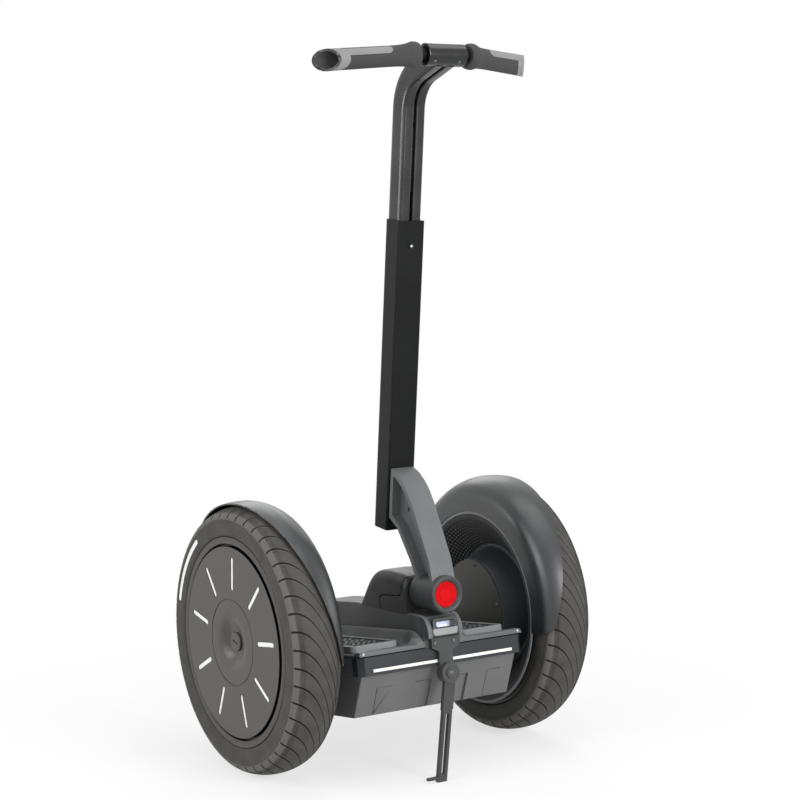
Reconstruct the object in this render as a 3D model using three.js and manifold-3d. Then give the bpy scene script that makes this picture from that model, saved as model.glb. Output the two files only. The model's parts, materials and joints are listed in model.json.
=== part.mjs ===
// Self balancing personal transporter, parked on its stand. Millimetres, +Z up, front towards -Y.
// The origin is on the ground, straight under the middle of the wheel axle.
import * as THREE from 'three';
import { mergeVertices } from 'three/addons/utils/BufferGeometryUtils.js';
import Module from 'manifold-3d';

const wasm = await Module();
wasm.setup();

// Shared clearances and facet counts
const seatGap = 0.3;
const runGap = 0.5;
const overrun = 3;
const weldDistance = 0.0005;
const wheelFacets = 32;
const roundFacets = 28;
const pinFacets = 16;
const smallFacets = 10;
const gripFacets = 20;
const cornerSteps = 3;

// Stance
const tyreRadius = 241.5;
const trackHalf = 268;
const parkTiltDegrees = 9.3;
const axleHeight = tyreRadius;
const parkTilt = THREE.MathUtils.degToRad(parkTiltDegrees);

// Tyre and rim
const tyreHalfWidth = 46.5;
const tyreSectionHeight = 63.5;
const beadRadius = tyreRadius - tyreSectionHeight;
const beadShare = 0.83;
const sidewallShares = [[0.87, 0.17], [1, 0.52], [0.92, 0.8], [0.47, 0.975], [0.17, 1]];
const cavityShares = [[0.66, 0], [0.78, 0.56], [0.3, 0.86]];
const rimFlangeHeight = 9;
const rimFlangeWidth = 2.6;
const rimBarrelWall = 5.5;
const rimShelfWidth = 9.2;
const webInnerPlane = 22;
const webOuterPlane = 30;
const hubBossRadius = 36;
const hubBossLength = 34;
const shaftRadius = 19.2;

// Outer disc cover with its inlays and cap
const coverEdgeGap = 6.6;
const coverRadius = beadRadius - coverEdgeGap;
const coverPlane = 45.5;
const coverWall = 3.5;
const coverDishRadius = 77;
const coverDishStep = 0.8;
const coverDishDepth = 7;
const capRadius = 17.2;
const capHeight = 5.6;
const capDomeShare = 0.7;
const capSlotWidth = 3;
const capSlotDepth = 1.4;
const slotCount = 9;
const slotSpanShares = [0.18, 0.815];
const [slotInnerRadius, slotOuterRadius] = slotSpanShares
  .map((share) => coverDishRadius + share * (coverRadius - coverDishRadius));
const slotWidth = 8.4;
const inlayRingWall = 2.5;
const inlayMargin = 4;

// Gears, motor and gearbox
const gearModule = 2;
const wheelTeeth = 39;
const pinionTeeth = 9;
const toothRootShare = 0.25;
const toothTipShare = 0.12;
const addendumShare = 1;
const dedendumShare = 1.25;
const gearWidth = 9;
const gearWallGap = 1.5;
const shaftTail = 6;
const gearboxWallPlane = 5.5;
const gearboxWall = 4;
const bearingRadius = 27;
const gearboxFlangeRadius = 121;
const gearboxWideRadius = 112;
const gearboxNarrowRadius = 92;
const gearboxFacePlane = 210.7;
const gearboxCoverWall = 4;
const statorRadius = 31;
const statorWall = 9;
const statorLength = 33;
const statorEndWall = 3;
const rotorShaftRadius = 4;

// Splash shield and fender
const shieldLipPlane = 213;
const shieldOverlap = 6;
const shieldRadius = beadRadius + shieldOverlap;
const shieldLipWidth = 16;
const shieldLipSink = 3;
const shieldWall = 2.6;
const shieldEndRadius = 116;
const fenderWall = 2.5;
const fenderInnerPlane = 211.5;
const fenderClearance = 8.5;
const fenderCrownRadius = tyreRadius + fenderClearance;
const fenderOuterPlane = 300;
const fenderOutlineShares = [
  [0, 0], [0, 0.51], [0.05, 0.67], [0.14, 0.79], [0.27, 0.9], [0.4, 0.975], [0.54, 1], [0.8, 0.985], [1, 0.94],
];
const fenderEndHeight = 43;
const fenderEndHalf = 208;
const fenderCornerDrop = 5;
const fenderTaperPlane = 235;
const fenderTaperSlope = 0.252;

// Platform
const deckHalfLength = 203;
const deckHalfWidth = 173;
const deckPlane = -33;
const deckWall = 4;
const deckLipHeight = 6;
const deckLipWidth = 18;
const matEndGap = 39;
const matHalfLength = deckHalfLength - matEndGap;
const matOuterPlane = 163;
const matInnerPlane = 66;
const matThickness = 12.5;
const matCorner = 10;
const castingBottom = -70;
const castingEndGap = 15;
const castingHalfLength = deckHalfLength - castingEndGap;
const castingWall = 8;
const castingFloor = 5;
const castingHalfWidth = 172;
const lugHalfLength = 44;
const lugHeight = 26;
const bumperHalfWidth = 164;
const bumperChamfer = 10;
const bumperSide = 17;
const stripHalfLength = 148;
const stripBottom = -64.7;
const stripHeight = 5.4;
const stripThickness = 1.5;
const stripProud = 0.8;
const batteryHalfWidth = 165;
const batteryTopSetback = 13;
const batteryTaper = 36;
const batteryTopLength = deckHalfLength - batteryTopSetback;
const batteryBottomLength = batteryTopLength - batteryTaper;
const batteryBottom = -147;
const batteryBevel = 4;
const boardHalfWidth = 120;
const boardHalfLength = 62;
const boardThickness = 3;
const sensorHalfWidth = 30;
const sensorHeight = 16;

// Centre console
const consoleFootHalfWidth = 62;
const consoleFrontHalfWidth = 37;
const consoleOverhang = 14;
const consoleFront = deckHalfLength + consoleOverhang;
const consoleRearHeight = 36;
const consoleHubHeight = 19;
const consoleSideShares = [[1.05, 0], [1.02, 0.1], [0.8, 0.36], [0.742, 0.46], [0.66, 0.85], [0.61, 1]];
const consoleCavityHalfWidth = 28;
const consoleCavityHalfLength = 130;
const consoleCavityTop = 4;
const consoleUndercut = -19.6;
const consoleNoseShares = [0.5, 0.333, 0.9];

// Steering pivot
const hubReach = 217;
const hubRise = 91.5;
const hubHeight = axleHeight + hubRise;
const hubTiltDegrees = 4.6;
const hubRadius = 33.4;
const hubLength = 70;
const pivotShaftRadius = 12;
const pivotShaftLength = 84;
const pivotFaceGap = 1.2;
const bushRadius = 26;
const bushWallShare = 0.42;
const housingBack = 4;
const housingLean = 3;
const housingHalfWidth = 42;
const housingTopShares = [[1, 0.7], [0.86, 0.93], [0.6, 1]];
const housingSideShares = [[1, 0.75], [1.35, 1.12], [1.9, 1.35], [2.9, 1.35]];
const housingNoseShare = 0.8;
const coverStepShares = [2.2, 0.35];
const housingWall = 7;
const seamGap = 0.7;

// Charge port
const doorHalfWidth = 26;
const doorThickness = 3;
const doorBottom = -17;
const doorTop = 14;
const doorPocketDepth = 4.4;
const windowHalfWidth = 19;
const windowBottom = -2;
const windowTop = 8;
const windowProud = 0.5;
const inletHalfWidth = 17;
const inletBottom = -13;
const inletTop = 9;
const inletDepth = 24;
const inletMouthHalfWidth = 12;
const inletMouthHalfHeight = 7.5;
const inletMouthDepth = 17;

// Parking stand
const bracketTop = -20.6;
const bracketHalfWidth = 28;
const bracketBarBottom = -38;
const bracketNeckHalfWidth = 14;
const bracketThickness = 8;
const standPivotHeight = -84;
const standEyeRadius = 18.5;
const standEyeThickness = 11;
const standBoltRadius = 6;
const standBoltHeadRadius = 9.5;
const standBoltHeadHeight = 2.4;
const standFootReach = 235;
const standFootOffset = 21;
const standBarWidth = 22;
const standBarThickness = 9;
const standBarShare = 0.34;
const standLoopWidth = 19;
const standProngWidth = 6;
const standFootHeight = 14;
const standTabLength = 20;
const standTabHeight = 5;

// Mast, arm and bar
const mastFootReach = 37;
const mastFootRise = 93.5;
const mastFootHeight = hubHeight + mastFootRise;
const mastLeanDegrees = 3.9;
const mastLean = THREE.MathUtils.degToRad(mastLeanDegrees);
const sleeveHalfWidth = 28;
const sleeveHalfDepth = 25;
const sleeveLength = 564;
const sleeveWall = 3.5;
const sleeveFrontCorner = 4;
const sleeveBackCorner = 14;
const mastCorner = 11;
const mastGrooveHalfWidth = 4.5;
const mastGrooveDepth = 7;
const mastGrooveFloorShare = 0.6;
const mastInsert = 314;
const mastFoot = sleeveLength - mastInsert;
const mastExposed = 198;
const mastStraightTop = sleeveLength + mastExposed;
const mastBoreHalfWidth = 7.5;
const mastBoreHalfDepth = 15;
const mastBendRadius = 75;
const mastBendDegrees = 65;
const mastBendSteps = 8;
const mastTail = 63.6;
const heightScrewDrop = 45;
const heightScrewZ = sleeveLength - heightScrewDrop;
const heightScrewRadius = 2.6;
const heightScrewHead = 5;
const heightScrewHeadHeight = 2;
const heightScrewReach = 5;
const armRise = 113.5;
const armTop = mastFootHeight + armRise;
const armSleeveReach = mastFootReach + sleeveHalfDepth + armRise * Math.tan(mastLean);
const armHalfWidth = 24;
const armFlange = 9;
const armWebHalf = 5;
const armFrontShares = [
  [0.05, -0.05], [0.054, 0.092], [0.142, 0.28], [0.356, 0.536], [0.515, 0.725], [0.624, 0.831],
];
const armTopShares = [[0.725, 0.899], [0.861, 0.964], [1, 1], [1.12, 1]];
const armRearShares = [[1.12, 0.56], [1.03, 0.56], [0.852, 0.488], [0.563, 0.242], [0.42, 0.09], [0.42, -0.05]];
const armHoleShares = [0.786, 0.652];
const armHoleRadius = 4;
const badgeRadius = 23;
const badgeDepth = 3;
const barRadius = 11;
const clampRadius = 19.8;
const clampHalfLength = 42;
const barBendPlane = 46;
const gripSpan = 158.5;
const gripSetback = 47;
const gripDrop = 12;
const gripFlangeRadius = 23;
const gripProfileShares = [
  [0.03, 0.83], [0.05, 0.96], [0.085, 1], [0.12, 0.935], [0.205, 0.81], [0.36, 0.783], [0.72, 0.8], [1.2, 0.82],
];
const gripHollowRadius = 14.5;
const gripHollowStart = 118;
const gripCutDegrees = 48.6;
const trimInnerRadius = 16;
const trimOuterRadius = 19.2;
const trimRingWidth = 11;
const trimStripStart = 52;
const trimStripHalfWidth = 7.5;
const trimStripDegrees = 40;

// Colours
const finishes = {
  tyreRubber: { color: 0x3b3a38, roughness: 0.9, metalness: 0 },
  wheelGrey: { color: 0x4f4b47, roughness: 0.55, metalness: 0.2 },
  castMetal: { color: 0x55575a, roughness: 0.6, metalness: 0.6 },
  darkPlastic: { color: 0x26282a, roughness: 0.5, metalness: 0 },
  fenderPlastic: { color: 0x1d2022, roughness: 0.35, metalness: 0 },
  greyPlastic: { color: 0x4b4e51, roughness: 0.6, metalness: 0 },
  blackMetal: { color: 0x1c1d1f, roughness: 0.4, metalness: 0.5 },
  steel: { color: 0xa9adb1, roughness: 0.35, metalness: 0.9 },
  whiteInlay: { color: 0xe8e8e4, roughness: 0.4, metalness: 0 },
  gripRubber: { color: 0x3a3a3b, roughness: 0.85, metalness: 0 },
  lightPlastic: { color: 0x8e9193, roughness: 0.5, metalness: 0 },
  badgeRed: { color: 0xd3131b, roughness: 0.3, metalness: 0 },
  clearLens: { color: 0x9fb4d8, roughness: 0.1, metalness: 0 },
  elastomer: { color: 0x202020, roughness: 0.9, metalness: 0 },
  boardGreen: { color: 0x1f5a35, roughness: 0.6, metalness: 0 },
};

// Solid helpers
function signedVolume(positions, index) {
  const a = new THREE.Vector3();
  const b = new THREE.Vector3();
  const c = new THREE.Vector3();
  let total = 0;
  for (let i = 0; i < index.length; i += 3) {
    a.fromArray(positions, 3 * index[i]);
    b.fromArray(positions, 3 * index[i + 1]);
    c.fromArray(positions, 3 * index[i + 2]);
    total += a.dot(b.cross(c));
  }
  return total;
}

function toSolid(geometry) {
  const bare = geometry.clone();
  bare.deleteAttribute('normal');
  bare.deleteAttribute('uv');
  const merged = mergeVertices(bare, weldDistance);
  const positions = merged.attributes.position.array;
  const index = merged.index.array;
  const kept = [];
  for (let i = 0; i < index.length; i += 3) {
    const [a, b, c] = [index[i], index[i + 1], index[i + 2]];
    if (a !== b && b !== c && c !== a) kept.push(a, b, c);
  }
  if (signedVolume(positions, kept) < 0) kept.reverse();
  return new wasm.Manifold(new wasm.Mesh({
    numProp: 3,
    vertProperties: new Float32Array(positions),
    triVerts: new Uint32Array(kept),
  }));
}

function toGeometry(solid) {
  const { vertProperties, triVerts } = solid.getMesh();
  const geometry = new THREE.BufferGeometry();
  geometry.setAttribute('position', new THREE.BufferAttribute(new Float32Array(vertProperties), 3));
  geometry.setIndex(new THREE.BufferAttribute(new Uint32Array(triVerts), 1));
  geometry.computeVertexNormals();
  return geometry;
}

function join(first, ...others) {
  return toGeometry(others.reduce((sum, part) => sum.add(toSolid(part)), toSolid(first)));
}

function cut(first, ...tools) {
  return toGeometry(tools.reduce((rest, tool) => rest.subtract(toSolid(tool)), toSolid(first)));
}

function common(first, ...others) {
  return toGeometry(others.reduce((rest, part) => rest.intersect(toSolid(part)), toSolid(first)));
}

function mirrorSide(geometry) {
  return geometry.clone().scale(-1, 1, 1);
}

function moved(geometry, x, y, z) {
  return geometry.clone().translate(x, y, z);
}

// Outline points are [y, z] for a prism along x, [x, z] along y and [x, y] along z.
function prism(axis, outline, from, to) {
  const isAlongY = axis === 'y';
  const shape = new THREE.Shape(outline.map(([a, b]) => (isAlongY ? new THREE.Vector2(b, a) : new THREE.Vector2(a, b))));
  const geometry = new THREE.ExtrudeGeometry(shape, { depth: to - from, bevelEnabled: false });
  geometry.translate(0, 0, from);
  const [ex, ey, ez] = [new THREE.Vector3(1, 0, 0), new THREE.Vector3(0, 1, 0), new THREE.Vector3(0, 0, 1)];
  const basis = new THREE.Matrix4();
  if (axis === 'x') basis.makeBasis(ey, ez, ex);
  if (axis === 'y') basis.makeBasis(ez, ex, ey);
  return geometry.applyMatrix4(basis);
}

function box(x0, x1, y0, y1, z0, z1) {
  const geometry = new THREE.BoxGeometry(x1 - x0, y1 - y0, z1 - z0);
  return geometry.translate((x0 + x1) / 2, (y0 + y1) / 2, (z0 + z1) / 2);
}

// Profile points are [along, radius]. A ring's profile is closed on itself.
function turned(axis, profile, facets, isRing = false, halfStep = false) {
  const points = (isRing ? [...profile, profile[0]] : profile).map(([along, radius]) => new THREE.Vector2(radius, along));
  const start = halfStep ? Math.PI / facets : 0;
  const geometry = new THREE.LatheGeometry(points, facets, start);
  if (axis === 'x') geometry.rotateZ(-Math.PI / 2);
  if (axis === 'z') geometry.rotateX(Math.PI / 2);
  return geometry;
}

function rod(axis, radius, from, to, facets) {
  return turned(axis, [[from, 0], [from, radius], [to, radius], [to, 0]], facets);
}

function tube(axis, inner, outer, from, to, facets) {
  return turned(axis, [[from, inner], [from, outer], [to, outer], [to, inner]], facets, true);
}

function arcPoints(cx, cy, radius, startDegrees, endDegrees, steps) {
  return Array.from({ length: steps + 1 }, (_, i) => {
    const angle = THREE.MathUtils.degToRad(startDegrees + ((endDegrees - startDegrees) * i) / steps);
    return [cx + radius * Math.cos(angle), cy + radius * Math.sin(angle)];
  });
}

function roundedOutline(halfWidth, low, high, lowCorner, highCorner) {
  return [
    ...arcPoints(halfWidth - lowCorner, low + lowCorner, lowCorner, -90, 0, cornerSteps),
    ...arcPoints(halfWidth - highCorner, high - highCorner, highCorner, 0, 90, cornerSteps),
    ...arcPoints(highCorner - halfWidth, high - highCorner, highCorner, 90, 180, cornerSteps),
    ...arcPoints(lowCorner - halfWidth, low + lowCorner, lowCorner, 180, 270, cornerSteps),
  ];
}

function bothSides(halfOutline) {
  return [...halfOutline, ...halfOutline.map(([a, b]) => [-a, b]).reverse()];
}

// Moves every edge of a counter-clockwise outline inwards by one distance.
function inset(outline, distance) {
  return outline.map((point, i) => {
    const before = outline[(i + outline.length - 1) % outline.length];
    const after = outline[(i + 1) % outline.length];
    const d1 = new THREE.Vector2(point[0] - before[0], point[1] - before[1]).normalize();
    const d2 = new THREE.Vector2(after[0] - point[0], after[1] - point[1]).normalize();
    const bisector = new THREE.Vector2(-d1.y - d2.y, d1.x + d2.x).normalize();
    const stretch = distance / (bisector.x * -d1.y + bisector.y * d1.x);
    return [point[0] + bisector.x * stretch, point[1] + bisector.y * stretch];
  });
}

// Frames: the chassis leans back on the stand, the mast leans forward.
const root = new THREE.Group();
const chassis = new THREE.Group();
chassis.position.z = axleHeight;
chassis.rotation.x = -parkTilt;
const wheels = new THREE.Group();
wheels.position.z = axleHeight;
const mast = new THREE.Group();
mast.position.set(0, -mastFootReach, mastFootHeight);
mast.rotation.x = mastLean;
root.add(chassis, wheels, mast);

function add(group, name, geometry, finish) {
  const solid = toGeometry(toSolid(geometry));
  const mesh = new THREE.Mesh(solid, new THREE.MeshStandardMaterial(finishes[finish]));
  mesh.name = name;
  group.add(mesh);
}

function addPair(group, name, geometry, finish) {
  add(group, `${name}_left`, geometry, finish);
  add(group, `${name}_right`, mirrorSide(geometry), finish);
}

function toChassis(y, z) {
  const lift = z - axleHeight;
  return [y * Math.cos(parkTilt) - lift * Math.sin(parkTilt), y * Math.sin(parkTilt) + lift * Math.cos(parkTilt)];
}

// Wheel pieces, built for the left side with x measured from the wheel's own middle plane.
const facetGrowth = 1 / Math.cos(Math.PI / wheelFacets);
const pinGrowth = 1 / Math.cos(Math.PI / pinFacets);

function wheelRing(profile) {
  const grown = profile.map(([x, radius]) => [x, radius * facetGrowth]);
  return turned('x', grown, wheelFacets, true, true);
}

function tyre() {
  const rise = tyreRadius - beadRadius;
  const scale = ([across, up]) => [across * tyreHalfWidth, beadRadius + up * rise];
  const outside = [[beadShare, 0], ...sidewallShares].map(scale);
  const inside = cavityShares.map(scale);
  const flip = (points) => points.map(([x, radius]) => [-x, radius]);
  return wheelRing([...flip(outside), ...outside.reverse(), ...inside, ...flip(inside).reverse()]);
}

function rim() {
  const seat = beadRadius - seatGap;
  const flangeInner = tyreHalfWidth * sidewallShares[0][0] + seatGap;
  const flangeOuter = flangeInner + rimFlangeWidth;
  const flangeTop = beadRadius + rimFlangeHeight;
  const barrel = seat - rimBarrelWall;
  const shelf = seat - rimShelfWidth;
  const bore = shaftRadius + seatGap;
  return wheelRing([
    [0, bore], [hubBossLength, bore], [hubBossLength, hubBossRadius], [webOuterPlane, hubBossRadius],
    [webOuterPlane, shelf], [flangeOuter, shelf], [flangeOuter, flangeTop], [flangeInner, flangeTop], [flangeInner, seat],
    [-flangeInner, seat], [-flangeInner, flangeTop], [-flangeOuter, flangeTop], [-flangeOuter, barrel],
    [webInnerPlane, barrel], [webInnerPlane, hubBossRadius], [0, hubBossRadius],
  ]);
}

function aroundAxle(geometry, turn) {
  return geometry.clone().rotateX(turn);
}

function slotBars(width, inner, outer, from, to) {
  const bar = box(from, to, -width / 2, width / 2, inner, outer);
  return Array.from({ length: slotCount }, (_, i) => aroundAxle(bar, (2 * Math.PI * i) / slotCount));
}

function discCover() {
  const rimFace = tyreHalfWidth * sidewallShares[0][0] + seatGap + rimFlangeWidth + seatGap;
  const seat = hubBossLength + seatGap;
  const hole = capRadius + seatGap;
  const back = coverPlane - coverWall;
  const dish = coverPlane - coverDishDepth;
  const stepInner = coverDishRadius - coverWall / 2;
  const disc = turned('x', [
    [coverPlane, coverRadius], [coverPlane, coverDishRadius], [coverPlane - coverDishStep, stepInner], [dish, hole],
    [seat, hole], [seat, hubBossRadius], [dish, hubBossRadius], [back, coverDishRadius],
    [back, coverRadius - coverWall], [rimFace, coverRadius - coverWall], [rimFace, coverRadius],
  ], wheelFacets, true);
  return cut(disc, ...slotBars(slotWidth, slotInnerRadius, slotOuterRadius, back - overrun, coverPlane + overrun));
}

function inlayRing() {
  const front = coverPlane - coverWall - seatGap;
  const back = front - inlayRingWall;
  const ring = tube('x', slotInnerRadius - inlayMargin, slotOuterRadius + inlayMargin, back, front, wheelFacets);
  const narrow = slotWidth - 2 * seatGap;
  const bars = slotBars(narrow, slotInnerRadius + seatGap, slotOuterRadius - seatGap, back + inlayRingWall / 2, coverPlane);
  return join(ring, ...bars);
}

function hubCap() {
  const seat = hubBossLength + seatGap;
  const top = seat + capHeight;
  const dome = turned('x', [
    [seat, 0], [seat, capRadius], [top, capRadius], [top + capSlotDepth, capRadius * capDomeShare], [top + capSlotDepth, 0],
  ], pinFacets);
  const slotHalf = (capRadius * capDomeShare) / 2;
  const slot = box(top, top + overrun, -slotHalf, slotHalf, -capSlotWidth / 2, capSlotWidth / 2);
  return cut(dome, slot);
}

// Gears, motor and gearbox, with x measured from the machine's middle plane.
const boxWallOuter = trackHalf - gearboxWallPlane + gearboxWall;
const boxWallInner = trackHalf - gearboxWallPlane;
const gearOuter = boxWallInner - gearWallGap;
const gearInner = gearOuter - gearWidth;
const motorOffset = (gearModule * (wheelTeeth + pinionTeeth)) / 2;

function gearOutline(teeth, phase) {
  const pitch = (gearModule * teeth) / 2;
  const root = pitch - dedendumShare * gearModule;
  const tip = pitch + addendumShare * gearModule;
  const step = (2 * Math.PI) / teeth;
  const points = [[root, -toothRootShare], [tip, -toothTipShare], [tip, toothTipShare], [root, toothRootShare]];
  return Array.from({ length: teeth }, (_, i) => points.map(([radius, share]) => {
    const angle = phase + step * (i + share);
    return [radius * Math.cos(angle), radius * Math.sin(angle)];
  })).flat();
}

function outputShaft() {
  const body = rod('x', shaftRadius, gearInner - shaftTail, trackHalf + hubBossLength, pinFacets);
  const gear = prism('x', gearOutline(wheelTeeth, Math.PI / wheelTeeth), gearInner, gearOuter);
  return join(body, gear);
}

function outputBearing() {
  return tube('x', (shaftRadius + seatGap) * pinGrowth, bearingRadius, boxWallInner, boxWallOuter, pinFacets);
}

function motorRotor() {
  const start = gearboxFacePlane + seatGap + statorEndWall + runGap;
  const end = gearboxFacePlane + seatGap + statorLength - runGap;
  const core = rod('x', statorRadius - statorWall - runGap, start, end, pinFacets);
  const spindle = rod('x', rotorShaftRadius, start, gearOuter, smallFacets);
  const pinion = prism('x', gearOutline(pinionTeeth, Math.PI), gearInner, gearOuter);
  return moved(join(core, spindle, pinion), 0, motorOffset, 0);
}

function motorStator() {
  const start = gearboxFacePlane + seatGap;
  const shell = rod('x', statorRadius, start, start + statorLength, roundFacets);
  const hollow = rod('x', statorRadius - statorWall, start + statorEndWall, start + statorLength + overrun, roundFacets);
  return moved(cut(shell, hollow), 0, motorOffset, 0);
}

function gearboxHousing() {
  const bore = bearingRadius + seatGap;
  return turned('x', [
    [boxWallOuter, bore], [boxWallOuter, gearboxFlangeRadius], [boxWallInner, gearboxFlangeRadius],
    [boxWallInner, gearboxWideRadius], [gearboxFacePlane, gearboxNarrowRadius],
    [gearboxFacePlane, gearboxNarrowRadius - gearboxWall], [boxWallInner - gearboxWall, gearboxWideRadius - gearboxWall],
    [boxWallInner, gearboxWideRadius - 2 * gearboxWall], [boxWallInner, bore],
  ], roundFacets, true);
}

function gearboxCover() {
  const outer = gearboxFacePlane - seatGap;
  return rod('x', gearboxNarrowRadius, outer - gearboxCoverWall, outer, roundFacets);
}

function splashShield() {
  const end = boxWallInner - seatGap;
  const lip = shieldRadius - shieldLipWidth;
  const lipPlane = shieldLipPlane + shieldLipSink;
  return turned('x', [
    [shieldLipPlane, shieldRadius], [lipPlane, lip], [end, shieldEndRadius], [end, shieldEndRadius + shieldWall],
    [lipPlane + shieldWall, lip + shieldWall], [shieldLipPlane + shieldWall, shieldRadius],
  ], wheelFacets, true);
}

function fender() {
  const foot = shieldRadius + seatGap;
  const reach = fenderOuterPlane - fenderInnerPlane;
  const rise = fenderCrownRadius - foot;
  const outside = fenderOutlineShares.map(([across, up]) => [fenderInnerPlane + across * reach, foot + up * rise]);
  const inner = fenderOutlineShares.map(([across, up], i) => {
    const next = fenderOutlineShares[Math.min(i + 1, fenderOutlineShares.length - 1)];
    const last = fenderOutlineShares[Math.max(i - 1, 0)];
    const along = new THREE.Vector2((next[0] - last[0]) * reach, (next[1] - last[1]) * rise).normalize();
    return [outside[i][0] + along.y * fenderWall, outside[i][1] - along.x * fenderWall];
  });
  const ring = turned('x', [...outside, ...inner.reverse()], wheelFacets, true);
  const size = fenderCrownRadius + overrun;
  const below = prism('x', [
    [-size, -size], [size, -size], [fenderCrownRadius, -fenderCornerDrop], [fenderEndHalf, -fenderEndHeight],
    [-fenderEndHalf, -fenderEndHeight], [-fenderCrownRadius, -fenderCornerDrop],
  ], fenderInnerPlane - overrun, fenderOuterPlane + overrun);
  const taperAt = (z) => fenderTaperPlane + fenderTaperSlope * z;
  const far = trackHalf + size;
  const taper = prism('y', [[taperAt(-size), -size], [far, -size], [far, size], [taperAt(size), size]], -size, size);
  return cut(ring, below, taper);
}

// Platform pieces
function chassisCasting() {
  const top = deckPlane - deckWall - seatGap;
  const shell = box(-castingHalfWidth, castingHalfWidth, -castingHalfLength, castingHalfLength, castingBottom, top);
  const hollow = box(castingWall - castingHalfWidth, castingHalfWidth - castingWall, castingWall - castingHalfLength,
    castingHalfLength - castingWall, castingBottom + castingFloor, top + overrun);
  const lugEnd = gearboxFacePlane - seatGap - gearboxCoverWall - seatGap;
  const lugBottom = castingBottom + castingFloor;
  const lugStart = castingHalfWidth - castingWall;
  const lug = box(lugStart, lugEnd, -lugHalfLength, lugHalfLength, lugBottom, lugBottom + lugHeight);
  return join(cut(shell, hollow), lug, mirrorSide(lug));
}

function consoleSide() {
  const height = consoleRearHeight;
  const front = consoleFront;
  const back = deckHalfLength;
  const hubShelf = consoleHubHeight;
  const [lowNose, midNose, topNose] = consoleNoseShares;
  const low = deckPlane - deckWall / 2;
  return [
    [-deckHalfLength, low], [-deckHalfLength, consoleUndercut], [-front, consoleUndercut],
    [-front, lowNose * consoleUndercut], [-front + doorThickness * 2, -midNose * consoleUndercut],
    [-deckHalfLength, topNose * hubShelf], [-deckHalfLength + deckLipWidth, hubShelf],
    [-hubReach + hubLength, hubShelf + doorThickness], [housingBack, height], [back - deckLipWidth * 2, height],
    [back - deckLipWidth, height / 2], [back - deckLipWidth / 2, low],
  ];
}

function consoleRidge() {
  const side = prism('x', consoleSide(), -consoleFootHalfWidth, consoleFootHalfWidth);
  const low = deckPlane - deckWall / 2;
  const rise = consoleRearHeight + overrun - low;
  const across = prism('y', bothSides(consoleSideShares.map(([x, z]) => [x * consoleFootHalfWidth, low + z * rise])),
    -consoleFront - overrun, deckHalfLength);
  const plan = prism('z', bothSides([
    [consoleFrontHalfWidth, -consoleFront - overrun], [consoleFrontHalfWidth, -deckHalfLength],
    [consoleFootHalfWidth + overrun, -deckHalfLength + deckLipWidth], [consoleFootHalfWidth + overrun, deckHalfLength],
  ]), low - overrun, consoleRearHeight + overrun);
  return common(side, across, plan);
}

function deckTray() {
  const base = deckPlane - deckWall;
  const plate = box(-deckHalfWidth, deckHalfWidth, -deckHalfLength, deckHalfLength, base, deckPlane);
  const lipTop = deckPlane + deckLipHeight;
  const lipOutline = (end) => [
    [end * deckHalfLength, base + deckWall / 2], [end * deckHalfLength, deckPlane + deckLipHeight / 2],
    [end * (deckHalfLength - deckLipHeight / 2), lipTop], [end * (deckHalfLength - deckLipWidth), lipTop],
    [end * (deckHalfLength - deckLipWidth - deckLipHeight / 2), base + deckWall / 2],
  ];
  const lips = [1, -1].map((end) => prism('x', lipOutline(end), -deckHalfWidth, deckHalfWidth));
  const cavity = box(-consoleCavityHalfWidth, consoleCavityHalfWidth, -consoleCavityHalfLength, consoleCavityHalfLength,
    base - overrun, consoleCavityTop);
  const pocketFace = -consoleFront + doorPocketDepth;
  const inletRoom = box(-inletHalfWidth - seatGap, inletHalfWidth + seatGap, -consoleFront - overrun,
    pocketFace + inletDepth + seatGap, inletBottom - seatGap, inletTop + seatGap);
  const doorRoom = box(-doorHalfWidth - runGap, doorHalfWidth + runGap, -consoleFront - overrun, pocketFace,
    doorBottom - runGap, doorTop + runGap);
  const tray = join(plate, ...lips, consoleRidge());
  return cut(tray, cavity, inletRoom, doorRoom);
}

function mat() {
  const bottom = deckPlane + seatGap;
  const middle = (matOuterPlane + matInnerPlane) / 2;
  const outline = roundedOutline(matOuterPlane - middle, -matHalfLength, matHalfLength, matCorner, matCorner);
  return moved(prism('z', outline, bottom, bottom + matThickness), middle, 0, 0);
}

function bumper() {
  const front = deckHalfLength;
  const top = deckPlane - deckWall - seatGap;
  const outer = bumperHalfWidth + bumperChamfer;
  const back = bumperSide + bumperChamfer - front;
  const halfOutline = [[bumperHalfWidth, -front], [outer, bumperChamfer - front], [outer, back]];
  const bar = prism('z', bothSides(halfOutline), castingBottom, top);
  const inside = castingHalfWidth + seatGap;
  const castingRoom = box(-inside, inside, -castingHalfLength - seatGap, back + overrun, castingBottom - overrun,
    top + overrun);
  const groove = box(-stripHalfLength - seatGap, stripHalfLength + seatGap, -front - overrun,
    stripThickness - stripProud + seatGap - front, stripBottom - seatGap, stripBottom + stripHeight + seatGap);
  return cut(bar, castingRoom, groove);
}

function reflectorStrip() {
  const face = -deckHalfLength - stripProud;
  return box(-stripHalfLength, stripHalfLength, face, face + stripThickness, stripBottom, stripBottom + stripHeight);
}

function turnedAround(geometry) {
  return geometry.clone().rotateZ(Math.PI);
}

function battery() {
  const top = castingBottom - seatGap;
  const side = prism('x', [
    [-runGap, top], [-batteryTopLength, top], [-batteryBottomLength, batteryBottom + batteryBevel],
    [batteryBevel - batteryBottomLength, batteryBottom], [-runGap, batteryBottom],
  ], -batteryHalfWidth, batteryHalfWidth);
  return common(side, box(-batteryHalfWidth, batteryHalfWidth, -batteryTopLength, 0, batteryBottom, top));
}

function controllerBoard() {
  const bottom = castingBottom + castingFloor + seatGap;
  return box(-boardHalfWidth, boardHalfWidth, -boardHalfLength, boardHalfLength, bottom, bottom + boardThickness);
}

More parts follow.
